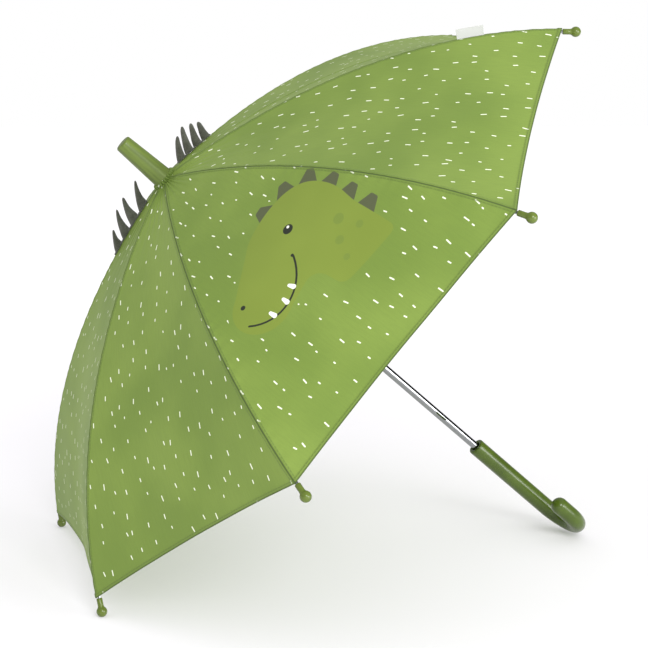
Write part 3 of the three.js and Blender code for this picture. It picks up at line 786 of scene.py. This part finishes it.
def felt(name, dark, light):
    """Pressed felt: no gloss at all, a fuzzy light edge, and a mottled fibrous surface."""
    material, tree = new_material(name)
    place = add(tree, "TexCoord").outputs["Object"]
    fibres = add(tree, "TexNoise", Vector=place, Scale=1000 / FELT_FIBRE / 2, Detail=3,
                 Roughness=0.7)
    mottle = add(tree, "TexNoise", Vector=place, Scale=160, Detail=2)
    both = add(tree, "Math", {"operation": "MULTIPLY"}, _0=fibres, _1=mottle)
    ramp = add(tree, "ValToRGB", Fac=both)
    for stop, position, colour in zip(ramp.color_ramp.elements, (0.12, 0.42), (dark, light)):
        stop.position, stop.color = position, linear(colour)
    bump = add(tree, "Bump", Height=fibres, Strength=0.35, Distance=0.0006)
    shader = add(tree, "BsdfPrincipled", Base_Color=ramp, Normal=bump, Roughness=0.95,
                 Sheen_Weight=0.35, Sheen_Roughness=0.6, Specular_IOR_Level=0.2)
    add(tree, "OutputMaterial", Surface=shader)
    return material


dark_felt = felt("pressed_felt", "#34362b", "#52544a")
print("felt fibres drawn", FELT_FIBRE, "mm apart")

# %% The claws' measures
# Start and pitch run along the seam. A claw's tip leans so far along the seam, and stands so high.
CLAW_ROWS = {
    5: {"start": 19.5, "pitch": 16.5,
        "leans": (-18.5, -14, -17, -13.5), "heights": (20.5, 21.5, 20.5, 13.5)},
    8: {"start": 14, "pitch": 12,
        "leans": (12, 10.5, 8, 3.5), "heights": (19.5, 23.5, 20.5, 17)},
}
CLAW_THICK, CLAW_TIP, CLAW_SIDES, CLAW_LEVELS = 5.6, 2.2, 14, 12
STRIP_TOP, STRIP_BOTTOM, STRIP_STATIONS = 1.9, 0.25, 34
STRIP_SECTION = [(-2.5, STRIP_BOTTOM), (-2.1, 1.3), (-1.3, STRIP_TOP),
                 (1.3, STRIP_TOP), (2.1, 1.3), (2.5, STRIP_BOTTOM)]
print("claws on each row:", [len(facts["heights"]) for facts in CLAW_ROWS.values()])

# %% One claw


def claw_rings(k, start, pitch, lean, height):
    """Sections of one claw, from its foot in the strip to its blunt tip, bent as it leans."""
    rings = []
    turn = np.linspace(0, 2 * math.pi, CLAW_SIDES, endpoint=False)
    for i in range(CLAW_LEVELS + 1):
        u = i / CLAW_LEVELS
        along = start + pitch / 2 + lean * (0.55 * u + 0.45 * u * u)
        along += 0.12 * math.sin(9 * u + k + start)
        up = STRIP_BOTTOM + 0.3 + (height - STRIP_BOTTOM) * u
        wide = (pitch / 2 - 0.2) * (1 - u) ** 0.95 + CLAW_TIP * u**1.5
        belly = 0.55 + 0.75 * math.sin(math.pi * min(0.18 + u * 0.75, 1))
        thick = CLAW_THICK / 2 * belly * (1 - 0.45 * u)
        if i == CLAW_LEVELS:
            wide, thick, up = wide * 0.45, thick * 0.45, up + 0.5
        leaned_up = up - 0.12 * wide * np.cos(turn)
        rings.append(on_rib(k, along + wide * np.cos(turn), leaned_up, thick * np.sin(turn)))
    return rings


def point_outwards(piece):
    """Turns the faces of a closed piece so that they all look out."""
    edit = bmesh.new()
    edit.from_mesh(piece.data)
    bmesh.ops.recalc_face_normals(edit, faces=edit.faces)
    edit.to_mesh(piece.data)
    edit.free()
    return piece


print("sections of a claw:", len(claw_rings(5, 0, 16, -14, 20)))

# %% The two rows of claws


def claw_row(k, start, pitch, leans, heights):
    """Four claws and the low strip that joins them, as one soft piece."""
    points, faces = [], []
    for i, (lean, height) in enumerate(zip(leans, heights)):
        rings = claw_rings(k, start + i * pitch, pitch, lean, height)
        first = sum(len(p) for p in points)
        points += rings + [rings[-1].mean(0)[None], rings[0].mean(0)[None]]
        faces += quads(len(rings), CLAW_SIDES, first, closed=True)
        last = first + (len(rings) - 1) * CLAW_SIDES
        tip, foot = last + CLAW_SIDES, last + CLAW_SIDES + 1
        faces += [(last + j, last + (j + 1) % CLAW_SIDES, tip) for j in range(CLAW_SIDES)]
        faces += [(first + (j + 1) % CLAW_SIDES, first + j, foot) for j in range(CLAW_SIDES)]
    first = sum(len(p) for p in points)
    for s in np.linspace(start, start + len(heights) * pitch, STRIP_STATIONS):
        points.append(np.array([on_rib(k, s, h, a) for a, h in STRIP_SECTION]))
    size = len(STRIP_SECTION)
    faces += quads(STRIP_STATIONS, size, first, closed=True)
    last = first + (STRIP_STATIONS - 1) * size
    faces += [tuple(range(first, first + size))[::-1], tuple(range(last, last + size))]
    row = point_outwards(mesh_piece(f"claws_{k}", np.concatenate(points), faces, dark_felt))
    soft = row.modifiers.new("soft felt", "SUBSURF")
    soft.levels = soft.render_levels = 1
    return row


for k, facts in CLAW_ROWS.items():
    row = claw_row(k, **facts)
    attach(row, f"rib_{k}")
    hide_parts(f"spikes_{k}")
    print(row.name, "claws:", len(facts["heights"]), "faces:", len(row.data.polygons))

# %% [markdown]
# ## Moulded plastic
# The handle and the rib tips are injection-moulded polypropylene with a polished mould, so they
# have a soft clear gloss over a very slightly uneven skin. The ferrule comes from a blasted mould:
# it is more satin, with faint streaks along its length where the plastic flowed.

# %% Plastics
SKIN_GRAIN = 0.8  # Millimetres.
STREAK_STRETCH = 0.96  # Taken off each place along the streaks, which makes them 25 times as long.


def moulded_polypropylene(name, colour, shade, roughness, grain, streak_axis=None):
    """Moulded polypropylene: coloured right through, with a soft gloss and small sink marks."""
    material, tree = new_material(name)
    place = add(tree, "TexCoord").outputs["Object"]
    if streak_axis is not None:
        axis = tuple(streak_axis)
        along = add(tree, "VectorMath", {"operation": "DOT_PRODUCT"}, _0=place, _1=axis)
        along = along.outputs["Value"]
        shift = add(tree, "VectorMath", {"operation": "SCALE"}, _0=axis, Scale=along)
        shift = add(tree, "VectorMath", {"operation": "SCALE"}, _0=shift, Scale=STREAK_STRETCH)
        place = add(tree, "VectorMath", {"operation": "SUBTRACT"}, _0=place, _1=shift)
    flow = add(tree, "TexNoise", Vector=place, Scale=grain, Detail=2, Roughness=0.5)
    fine = add(tree, "TexNoise", Vector=place, Scale=1000 / SKIN_GRAIN, Detail=1)
    mixed = add(tree, "MapRange", Value=flow, From_Min=0.35, From_Max=0.65)
    tint = add(tree, "Mix", COLOURS, _0=mixed, _6=linear(shade), _7=linear(colour)).outputs[2]
    gloss = add(tree, "MapRange", Value=fine, To_Min=roughness - 0.05, To_Max=roughness + 0.07)
    height = add(tree, "Math", {"operation": "MULTIPLY"}, _0=flow, _1=0.8)
    bump = add(tree, "Bump", Height=height, Strength=0.25, Distance=0.0004)
    shader = add(tree, "BsdfPrincipled", Base_Color=tint, Roughness=gloss, Normal=bump, IOR=1.49,
                 Specular_IOR_Level=0.4, Coat_Weight=0.18, Coat_Roughness=0.17)
    add(tree, "OutputMaterial", Surface=shader)
    return material


gloss_plastic = moulded_polypropylene("polypropylene_gloss", "#475a18", "#405214", 0.26, 60)
tip_plastic = moulded_polypropylene("polypropylene_tip", "#5c6d25", "#536320", 0.24, 160)
satin_plastic = moulded_polypropylene(
    "polypropylene_satin", "#677a2e", "#586a26", 0.42, 300, streak_axis=STICK)
print("plastics:", gloss_plastic.name, tip_plastic.name, satin_plastic.name)

# %% [markdown]
# ## The crook handle
# The handle is one tube bent into a J, with a socket for the stick in its flat top and a full round
# end. Its rings are walked along one path: up out of the socket, over the rounded lip, down the
# grip and round the crook. Two opposite points of each ring stand out by a tenth of a millimetre,
# which is the parting line that the two halves of a mould leave.

# %% The handle's path
HANDLE_TOP, HANDLE_BOTTOM, HANDLE_TUBE, SOCKET_RADIUS = -255, -388, 8.8, 5.0
CROOK_RADIUS, CROOK_END = 25, 15
LIP = [  # Height over the handle's top, and radius: up out of the socket and over the edge.
    (-14, 4.3), (-2.5, SOCKET_RADIUS), (-0.4, SOCKET_RADIUS + 0.1), (0, SOCKET_RADIUS + 0.6),
    (0.15, 6.9), (0, 7.9), (-0.35, 8.45), (-0.9, 8.72), (-2, HANDLE_TUBE),
]
END_FLATNESS = 0.96  # The round end is a little flatter than a half ball.

# Each stop is a place towards the hook and up, the direction of the path there, and a radius.
path = [((0, HANDLE_TOP + z), (0, -1), r) for z, r in LIP]
bend_z = HANDLE_BOTTOM + CROOK_RADIUS
path += [((0, z), (0, -1), HANDLE_TUBE) for z in np.linspace(HANDLE_TOP - 10, bend_z, 12)]
for a in np.linspace(0, math.pi, 33)[1:]:
    spot = (CROOK_RADIUS * (1 - math.cos(a)), bend_z - CROOK_RADIUS * math.sin(a))
    path.append((spot, (math.sin(a), -math.cos(a)), HANDLE_TUBE))
end_z = bend_z + CROOK_END
path += [((2 * CROOK_RADIUS, z), (0, 1), HANDLE_TUBE) for z in np.linspace(bend_z + 3, end_z, 5)]
for a in np.linspace(0, math.pi / 2, 12)[1:]:
    spot = (2 * CROOK_RADIUS, end_z + HANDLE_TUBE * END_FLATNESS * math.sin(a))
    path.append((spot, (0, 1), max(HANDLE_TUBE * math.cos(a), 0.05)))
print("stops on the handle's path:", len(path))

# %% A skin round rings


def rings_piece(name, rings, material):
    """A closed skin round a list of rings, with a fan of faces over each end."""
    rings = [np.asarray(ring, float) for ring in rings]
    size = len(rings[0])
    points = np.concatenate(rings + [rings[0].mean(0)[None], rings[-1].mean(0)[None]])
    faces = quads(len(rings), size, closed=True)
    first_centre = len(rings) * size
    for start, centre in ((0, first_centre), (first_centre - size, first_centre + 1)):
        faces += [(start + j, start + (j + 1) % size, centre) for j in range(size)]
    return point_outwards(mesh_piece(name, points, faces, material))


print("the handle's skin will join", len(path), "rings")

# %% The handle
HANDLE_SIDES, PARTING_LINE = 48, 0.1
HOOK_AZIMUTH = math.radians(97)

toward_hook = np.array([math.cos(HOOK_AZIMUTH), math.sin(HOOK_AZIMUTH), 0])
square_to_hook = np.array([-math.sin(HOOK_AZIMUTH), math.cos(HOOK_AZIMUTH), 0])
turn = np.linspace(0, 2 * math.pi, HANDLE_SIDES, endpoint=False)
on_parting_line = np.abs(np.cos(turn)) > 0.999
rings = []
for (across, z), (d_across, d_z), radius in path:
    centre = toward_hook * across + np.array([0, 0, z])
    outward = toward_hook * -d_z + np.array([0, 0, d_across])
    proud = radius + PARTING_LINE * on_parting_line * (radius > HANDLE_TUBE - 0.1)
    ring = centre + np.outer(proud * np.cos(turn), outward)
    rings.append(ring + np.outer(proud * np.sin(turn), square_to_hook))
handle = rings_piece("crook_handle", rings, gloss_plastic)
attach(handle, "stick")
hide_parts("handle")
print("handle faces:", len(handle.data.polygons))

# %% [markdown]
# ## The ferrule and the eight tips
# The ferrule is a long tapered cap, turned here from its outline, with a rounded edge at its end.
# Each tip is a ball on a short neck that is pushed over the end of its rib and holds the corner of
# the cloth. Both are turned pieces, so one helper makes all nine.

# %% The ferrule
FERRULE_BASE_Z = CROWN_Z + 0.9
FERRULE_OUTLINE = [  # Radius, and height over the base.
    (4.4, 0), (9.7, 0), (10.3, 0.15), (10.5, 0.8), (10.45, 2), (8.6, 45), (8.35, 50.2),
    (8.2, 50.9), (7.7, 51.55), (6.9, 51.95), (4, 52), (0.05, 52),
]


def turned_rings(outline, sides, middle=(0, 0, 0), axis=(0, 0, 1)):
    """The rings of a turned piece. Its outline is a list of (radius, height along the axis)."""
    axis = Vector(axis).normalized()
    one = axis.orthogonal().normalized()
    two = axis.cross(one)
    angles = np.linspace(0, 2 * math.pi, sides, endpoint=False)
    circle = np.outer(np.cos(angles), one) + np.outer(np.sin(angles), two)
    return [np.array(middle) + np.array(axis) * z + circle * r for r, z in outline]


ferrule = rings_piece(
    "ferrule_cap", turned_rings(FERRULE_OUTLINE, 64, middle=(0, 0, FERRULE_BASE_Z)), satin_plastic)
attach(ferrule, "stick")
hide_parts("ferrule")
print("ferrule:", FERRULE_OUTLINE[-1][1], "mm high")

# %% The eight tips
BALL, TIP_NECK, TIP_NECK_LENGTH, RIB_UNDER_SEAM = 4.8, 2.6, 12, 2.6
neck_meets = math.asin(TIP_NECK / BALL)
tip_outline = [
    (1.7, -TIP_NECK_LENGTH), (TIP_NECK - 0.3, -TIP_NECK_LENGTH),
    (TIP_NECK, -TIP_NECK_LENGTH + 0.4), (TIP_NECK, -BALL - 1.2), (TIP_NECK + 0.06, -BALL - 0.2),
    (TIP_NECK + 0.25, -BALL * math.cos(neck_meets) - 0.25),
]
for a in np.linspace(math.pi - neck_meets - 0.12, 0, 16):
    tip_outline.append((max(BALL * math.sin(a), 0.03), BALL * math.cos(a)))
for k in range(1, RIBS + 1):
    ball = on_rib(k, SEAM_LENGTH, -RIB_UNDER_SEAM)
    along_rib = Vector(ball - on_rib(k, SEAM_LENGTH - TIP_NECK_LENGTH, -RIB_UNDER_SEAM))
    tip = rings_piece(f"rib_tip_{k}", turned_rings(tip_outline, 28, ball, along_rib), tip_plastic)
    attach(tip, f"rib_{k}")
    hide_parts(f"tip_{k}")
print("tips:", RIBS, "with balls", 2 * BALL, "mm across")

# %% [markdown]
# ## Metals and hidden plastic
# The stick is a steel tube with bright chrome on it: a mirror that shows the room as long light and
# dark lines. The two catches are as bright. The ribs, stretchers, rivets and wires are zinc-plated,
# which is greyer and slightly frosted. The notch and the runner are black moulded acetal. The
# metals keep the default IOR, since their colour alone sets how they reflect.

# %% Plated steel


def plated_steel(name, bright, dull, rough_low, rough_high, grain):
    """Plated steel: metallic, with roughness that changes where the plating was handled."""
    material, tree = new_material(name)
    place = add(tree, "TexCoord").outputs["Object"]
    spots = add(tree, "TexNoise", Vector=place, Scale=grain, Detail=4, Roughness=0.6)
    tint = add(tree, "Mix", COLOURS, _0=spots, _6=linear(dull), _7=linear(bright)).outputs[2]
    rough = add(tree, "MapRange", Value=spots, From_Min=0.3, From_Max=0.7, To_Min=rough_low,
                To_Max=rough_high)
    bump = add(tree, "Bump", Height=spots, Strength=0.05, Distance=0.0002)
    shader = add(tree, "BsdfPrincipled", Base_Color=tint, Roughness=rough, Normal=bump,
                 Metallic=1.0)
    add(tree, "OutputMaterial", Surface=shader)
    return material


bright_chrome = plated_steel("chromed_steel", "#a0a2a3", "#949697", 0.06, 0.12, 220)
zinc_plate = plated_steel("zinc_plated_steel", "#a9acae", "#84878a", 0.30, 0.48, 900)
print("metals:", bright_chrome.name, zinc_plate.name)

# %% Black acetal
ACETAL_GRAIN = 0.5  # Millimetres.


def moulded_acetal(name, dark, light):
    """Acetal from a blasted mould: nearly black, waxy, and a little grey where it catches light."""
    material, tree = new_material(name)
    place = add(tree, "TexCoord").outputs["Object"]
    grain = add(tree, "TexNoise", Vector=place, Scale=1000 / ACETAL_GRAIN, Detail=2)
    shade = add(tree, "ValToRGB", Fac=grain)
    for stop, colour in zip(shade.color_ramp.elements, (dark, light)):
        stop.color = linear(colour)
    rough = add(tree, "MapRange", Value=grain, To_Min=0.42, To_Max=0.6)
    bump = add(tree, "Bump", Height=grain, Strength=0.2, Distance=0.0002)
    shader = add(tree, "BsdfPrincipled", Base_Color=shade, Roughness=rough, Normal=bump, IOR=1.48,
                 Specular_IOR_Level=0.45)
    add(tree, "OutputMaterial", Surface=shader)
    return material


black_acetal = moulded_acetal("acetal_black", "#222321", "#333431")
print("hidden plastic:", black_acetal.name)

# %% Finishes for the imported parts
metal_nodes = [f"{part}_{k}" for part in ("rib", "stretcher", "rivet") for k in range(1, RIBS + 1)]
metal_nodes += ["notch_wire", "runner_wire"]
finishes = [(name, zinc_plate) for name in metal_nodes]
finishes += [("top_catch", bright_chrome), ("bottom_catch", bright_chrome)]
finishes += [("top_notch", black_acetal), ("runner", black_acetal)]
for name, material in finishes:
    for material_slot in frame["nodes"][name].material_slots:
        material_slot.material = material
print("metal and acetal parts refinished:", len(finishes))

# %% [markdown]
# ## The stick
# The tube is turned with 64 sides, because chrome shows every flat. Its two slots, where the spring
# catches stand out, are left open by leaving out faces, and a Solidify modifier gives the tube its
# wall, so that one looks into a real slot.

# %% The stick
SHAFT_RADIUS, WALL, SHAFT_SIDES = 4.0, 0.8, 64
SHAFT_BOTTOM, SHAFT_TOP = HANDLE_TOP - 12, CROWN_Z + 24
SLOT_WIDTH, SLOT_SPARE = 2.0, 0.5
CATCH_FLAT, CATCH_RAMP = 5, 7
NOTCH_PIVOT_Z, RIB_JOINT_Z = 171.2669, 119.917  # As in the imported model.
TOP_CATCH_BELOW_PIVOTS, BOTTOM_CATCH_OVER_HANDLE = 12.5, 53.3

# Open, the runner's pivots are as far below the rib joints as the notch's are above them.
top_catch_z = 2 * RIB_JOINT_Z - NOTCH_PIVOT_Z - TOP_CATCH_BELOW_PIVOTS
bottom_catch_z = HANDLE_TOP + BOTTOM_CATCH_OVER_HANDLE
slots = [(top_catch_z - CATCH_RAMP - SLOT_SPARE, top_catch_z + CATCH_FLAT + SLOT_SPARE),
         (bottom_catch_z - CATCH_FLAT - SLOT_SPARE, bottom_catch_z + CATCH_RAMP + SLOT_SPARE)]
heights = {SHAFT_BOTTOM, SHAFT_TOP, *np.linspace(-240, 190, 44).tolist()}
heights = sorted(heights.union(*slots))
turn = (np.arange(SHAFT_SIDES) + 0.5) * 2 * math.pi / SHAFT_SIDES
points = np.concatenate([around(SHAFT_RADIUS, turn, z) for z in heights])
faces = []
for face in quads(len(heights), SHAFT_SIDES, closed=True):
    spot = points[list(face)].mean(0)
    near_slot = abs(spot[0]) < SLOT_WIDTH / 2 and spot[1] > 0
    if not (near_slot and any(low < spot[2] < high for low, high in slots)):
        faces.append(face)
stick = point_outwards(mesh_piece("stick_tube", points, faces, bright_chrome))
thicken(stick, WALL)
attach(stick, "stick")
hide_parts("shaft")
print("slots in the stick at", [[round(z, 1) for z in slot] for slot in slots])

# %% [markdown]
# ## The tie strap
# A strap sewn into a seam on the far side goes round the closed umbrella and snaps shut. It is a
# folded band of the same cloth with a line of stitches along each edge, so it is a flat band that
# lies on the seam and bulges a little between its edges, with a nickel snap near its free end.

# %% The strap
STRAP_RIB, STRAP_FROM, STRAP_TO, STRAP_WIDTH, STRAP_LIFT = 7, 215, 345, 16, 1.9
STRAP_ROWS, STRAP_COLUMNS, STRAP_END = 60, 17, 8

across_strap = np.linspace(-1, 1, STRAP_COLUMNS)
along_strap = np.linspace(STRAP_FROM, STRAP_TO, STRAP_ROWS)
strap_rows = []
for s in along_strap:
    end = max(0.0, (s - (STRAP_TO - STRAP_END)) / STRAP_END)
    width = STRAP_WIDTH / 2 * math.sqrt(max(1 - end**2 * 0.75, 0.05))
    wave = 0.21 * math.sin(s / 9) * (1 - across_strap**2)
    hump = 0.35 * np.sqrt(1 - 0.95 * across_strap**2)
    places = np.full(STRAP_COLUMNS, s)
    strap_rows.append(on_rib(STRAP_RIB, places, STRAP_LIFT + wave + hump, across_strap * width))
faces = quads(STRAP_ROWS, STRAP_COLUMNS)
strap = mesh_piece("tie_strap_band", np.concatenate(strap_rows), faces, plain_pongee)
row_of, column_of = np.divmod(np.arange(STRAP_ROWS * STRAP_COLUMNS), STRAP_COLUMNS)
aside = across_strap[column_of]
from_edge = (1 - np.abs(aside)) * STRAP_WIDTH / 2000
cloth_layers(
    strap.data,
    cloth=np.stack([0.3 + aside * STRAP_WIDTH / 2000, along_strap[row_of] / 1000], -1),
    edges=np.stack([from_edge + 0.001, np.full_like(from_edge, 0.02)], -1),
)
thicken(strap, 2 * CLOTH_THICK, offset=0)
strap_area = sum(polygon.area for polygon in strap.data.polygons)
print("strap area:", round(strap_area, 5), "m2")

# %% The snap
SNAP_FROM_END = 11
SNAP_OUTLINE = [  # Radius, and height over the strap.
    (4.6, 0), (4.9, 0.25), (4.9, 0.6), (4.4, 1.0), (3.6, 1.05), (3.3, 0.8), (2.4, 0.8),
    (2.1, 1.0), (1.9, 1.9), (1.4, 2.3), (0.6, 2.4), (0.03, 2.4),
]
nickel = plated_steel("nickel_plated_brass", "#d3d0c8", "#aeaaa0", 0.2, 0.32, 700)
snap_s = STRAP_TO - SNAP_FROM_END
snap_spot = on_rib(STRAP_RIB, snap_s, STRAP_LIFT + 0.5)
snap_up = Vector(on_rib(STRAP_RIB, snap_s, STRAP_LIFT + 1.5) - snap_spot)
snap = rings_piece("strap_snap", turned_rings(SNAP_OUTLINE, 32, snap_spot, snap_up), nickel)
for piece, slot_name in ((strap, "canopy_cloth"), (snap, "zinc_steel")):
    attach(piece, f"rib_{STRAP_RIB}")
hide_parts("tie_strap")
print("snap:", 2 * max(r for r, z in SNAP_OUTLINE), "mm across")

# %% [markdown]
# ## The blank label
# A small folded label of white satin ribbon stands on one seam. It is left blank. Being soft, it
# leans and curls slightly. Its two layers are drawn as one sheet of their thickness.

# %% Satin ribbon
RIBBON_FLOATS = 0.0008  # Metres between the drawn floats.


def satin_ribbon(name):
    """Woven polyester satin: smooth, bright, with floats 0.5 mm apart drawn at 0.8 mm."""
    material, tree = new_material(name)
    place = add(tree, "TexCoord").outputs["Object"]
    floats = add(tree, "TexWave", {"bands_direction": "DIAGONAL"}, Vector=place,
                 Scale=WAVE_UNIT / RIBBON_FLOATS, Distortion=0.4).outputs[1]
    tint = add(tree, "Mix", COLOURS, _0=floats, _6=linear("#adafac"), _7=linear("#bdbebb"))
    bump = add(tree, "Bump", Height=floats, Strength=0.15, Distance=0.0002)
    shader = add(tree, "BsdfPrincipled", Base_Color=tint.outputs[2], Normal=bump, Roughness=0.45,
                 IOR=1.5, Sheen_Weight=0.2, Sheen_Roughness=0.3)
    add(tree, "OutputMaterial", Surface=shader)
    return material


ribbon = satin_ribbon("polyester_satin_ribbon")
print("ribbon:", ribbon.name)

# %% The label
LABEL_RIB, LABEL_FROM, LABEL_LENGTH, LABEL_HEIGHT = 1, 299.0, 25.0, 9.0
LABEL_CUT, LABEL_THICK = 0.010, 0.6
LABEL_ROWS, LABEL_COLUMNS = 12, 20

along_label = np.linspace(0, 1, LABEL_COLUMNS)
label_rows = []
for u in np.linspace(0, 1, LABEL_ROWS):
    curl = 0.7 * u * u * np.sin(0.3 + 2.3 * along_label) + 0.5 * u
    s = LABEL_FROM + LABEL_LENGTH * along_label
    label_rows.append(on_rib(LABEL_RIB, s, 0.2 + LABEL_HEIGHT * u, curl))
faces = quads(LABEL_ROWS, LABEL_COLUMNS)
label = mesh_piece("blank_label", np.concatenate(label_rows), faces, ribbon)
thicken(label, LABEL_THICK, offset=0)
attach(label, f"rib_{LABEL_RIB}")
print("label stands", LABEL_HEIGHT, "mm off the seam")

# %% [markdown]
# ## The studio
# The umbrella lies on a white table in a bright even room, as small goods are often shown. The
# table glows by itself, which is painted light: it keeps the table white and the shadow under the
# canopy pale. The table's tint is a touch pink, which cancels the green light that the cloth throws
# on it. A soft key lamp in front and above gives the printed panel more light than its neighbours.
# A wide lamp low on the right and a dark card beside it are there for the chrome and the gloss:
# they are the bright and the dark line along the stick. For the same reason gloss sees the room at
# half its strength, as if its walls were grey.

# %% The table
TABLE_REACH = 12  # Metres from the middle to each edge.
GLOW_FROM, GLOW_TO, NEAR_GLOW, FAR_GLOW = 0.6, 1.8, 0.24, 0.38  # Metres, and strengths.


def flat_sheet(name, corners, material):
    """One plain face for the studio, with its corners in metres in the frame."""
    mesh = bpy.data.meshes.new(name)
    mesh.from_pydata(corners, [], [(0, 1, 2, 3)])
    mesh.materials.append(material)
    sheet = bpy.data.objects.new(name, mesh)
    bpy.context.collection.objects.link(sheet)
    return sheet


def glowing_floor_sheet(name):
    """A white sheet that glows by itself, painted light that is stronger away from the middle."""
    material, tree = new_material(name)
    place = add(tree, "TexCoord").outputs["Object"]
    from_middle = add(tree, "VectorMath", {"operation": "LENGTH"}, _0=place).outputs["Value"]
    # Painted light: the table's own glow lifts the shadow under the canopy, and it grows away from
    # the middle so that the far table stays white.
    glow = add(tree, "MapRange", Value=from_middle, From_Min=GLOW_FROM, From_Max=GLOW_TO,
               To_Min=NEAR_GLOW, To_Max=FAR_GLOW)
    cloud = add(tree, "TexNoise", Scale=40, Detail=3)
    # The pink tint cancels the green light that the cloth throws on the table.
    tint = add(tree, "Mix", COLOURS, _0=cloud, _6=linear("#d7d5d9"), _7=linear("#dad8dc"))
    shader = add(tree, "BsdfPrincipled", Base_Color=tint.outputs[2], Emission_Strength=glow,
                 Emission_Color=(1, 1, 1, 1), Roughness=0.9, Specular_IOR_Level=0.1)
    add(tree, "OutputMaterial", Surface=shader)
    return material


corners = [(TABLE_REACH * x, TABLE_REACH * y, 0) for x, y in ((-1, -1), (1, -1), (1, 1), (-1, 1))]
floor = flat_sheet("floor", corners, glowing_floor_sheet("glowing_white_floor"))
print("table:", 2 * TABLE_REACH, "m square")

# %% The room
ROOM_LIGHT, ROOM_IN_GLOSS = 1.0, 0.5

world = bpy.data.worlds.new("bright room")
bpy.context.scene.world = world
world.use_nodes = True
tree = world.node_tree
tree.nodes.clear()
in_gloss = add(tree, "LightPath").outputs["Is Glossy Ray"]
strength = add(tree, "MapRange", Value=in_gloss, To_Min=ROOM_LIGHT, To_Max=ROOM_IN_GLOSS)
room = add(tree, "Background", Color=(1, 1, 1, 1), Strength=strength)
add(tree, "OutputWorld", Surface=room)
bpy.context.scene.view_settings.view_transform = "Standard"
print("room light:", ROOM_LIGHT, "and in gloss:", ROOM_IN_GLOSS)

# %% The lamps
LAMPS = {
    "key_lamp": {"place": (0.0, -2.7, 1.55), "size": (1.1, 1.1), "watts": 42},
    "strip_lamp": {"place": (1.70, -2.35, 0.50), "size": (1.5, 0.9), "watts": 44},
}
LAMP_AIM = (0, 0, 0.22)
for name, facts in LAMPS.items():
    lamp = bpy.data.objects.new(name, bpy.data.lights.new(name, "AREA"))
    lamp.data.shape, lamp.data.energy = "RECTANGLE", facts["watts"]
    lamp.data.size, lamp.data.size_y = facts["size"]
    bpy.context.collection.objects.link(lamp)
    lamp.location = facts["place"]
    lamp.rotation_euler = (Vector(LAMP_AIM) - lamp.location).to_track_quat("-Z", "Y").to_euler()
    print(name, facts["watts"], "W,", facts["size"][0], "m wide")

# %% The dark card
CARD_CORNERS = [(2.0, -1.15, 0.55), (1.9, 0.95, 0.55), (1.9, 0.95, 1.9), (2.0, -1.15, 1.9)]


def black_card(name):
    """Matt black card, which only has to look dark in the chrome."""
    material, tree = new_material(name)
    shader = add(tree, "BsdfPrincipled", Base_Color=linear("#101010"), Roughness=1.0)
    add(tree, "OutputMaterial", Surface=shader)
    return material


card = flat_sheet("dark_card", CARD_CORNERS, black_card("black_card"))
card.visible_camera = card.visible_diffuse = card.visible_shadow = False
print("card seen by gloss only:", not card.visible_camera)
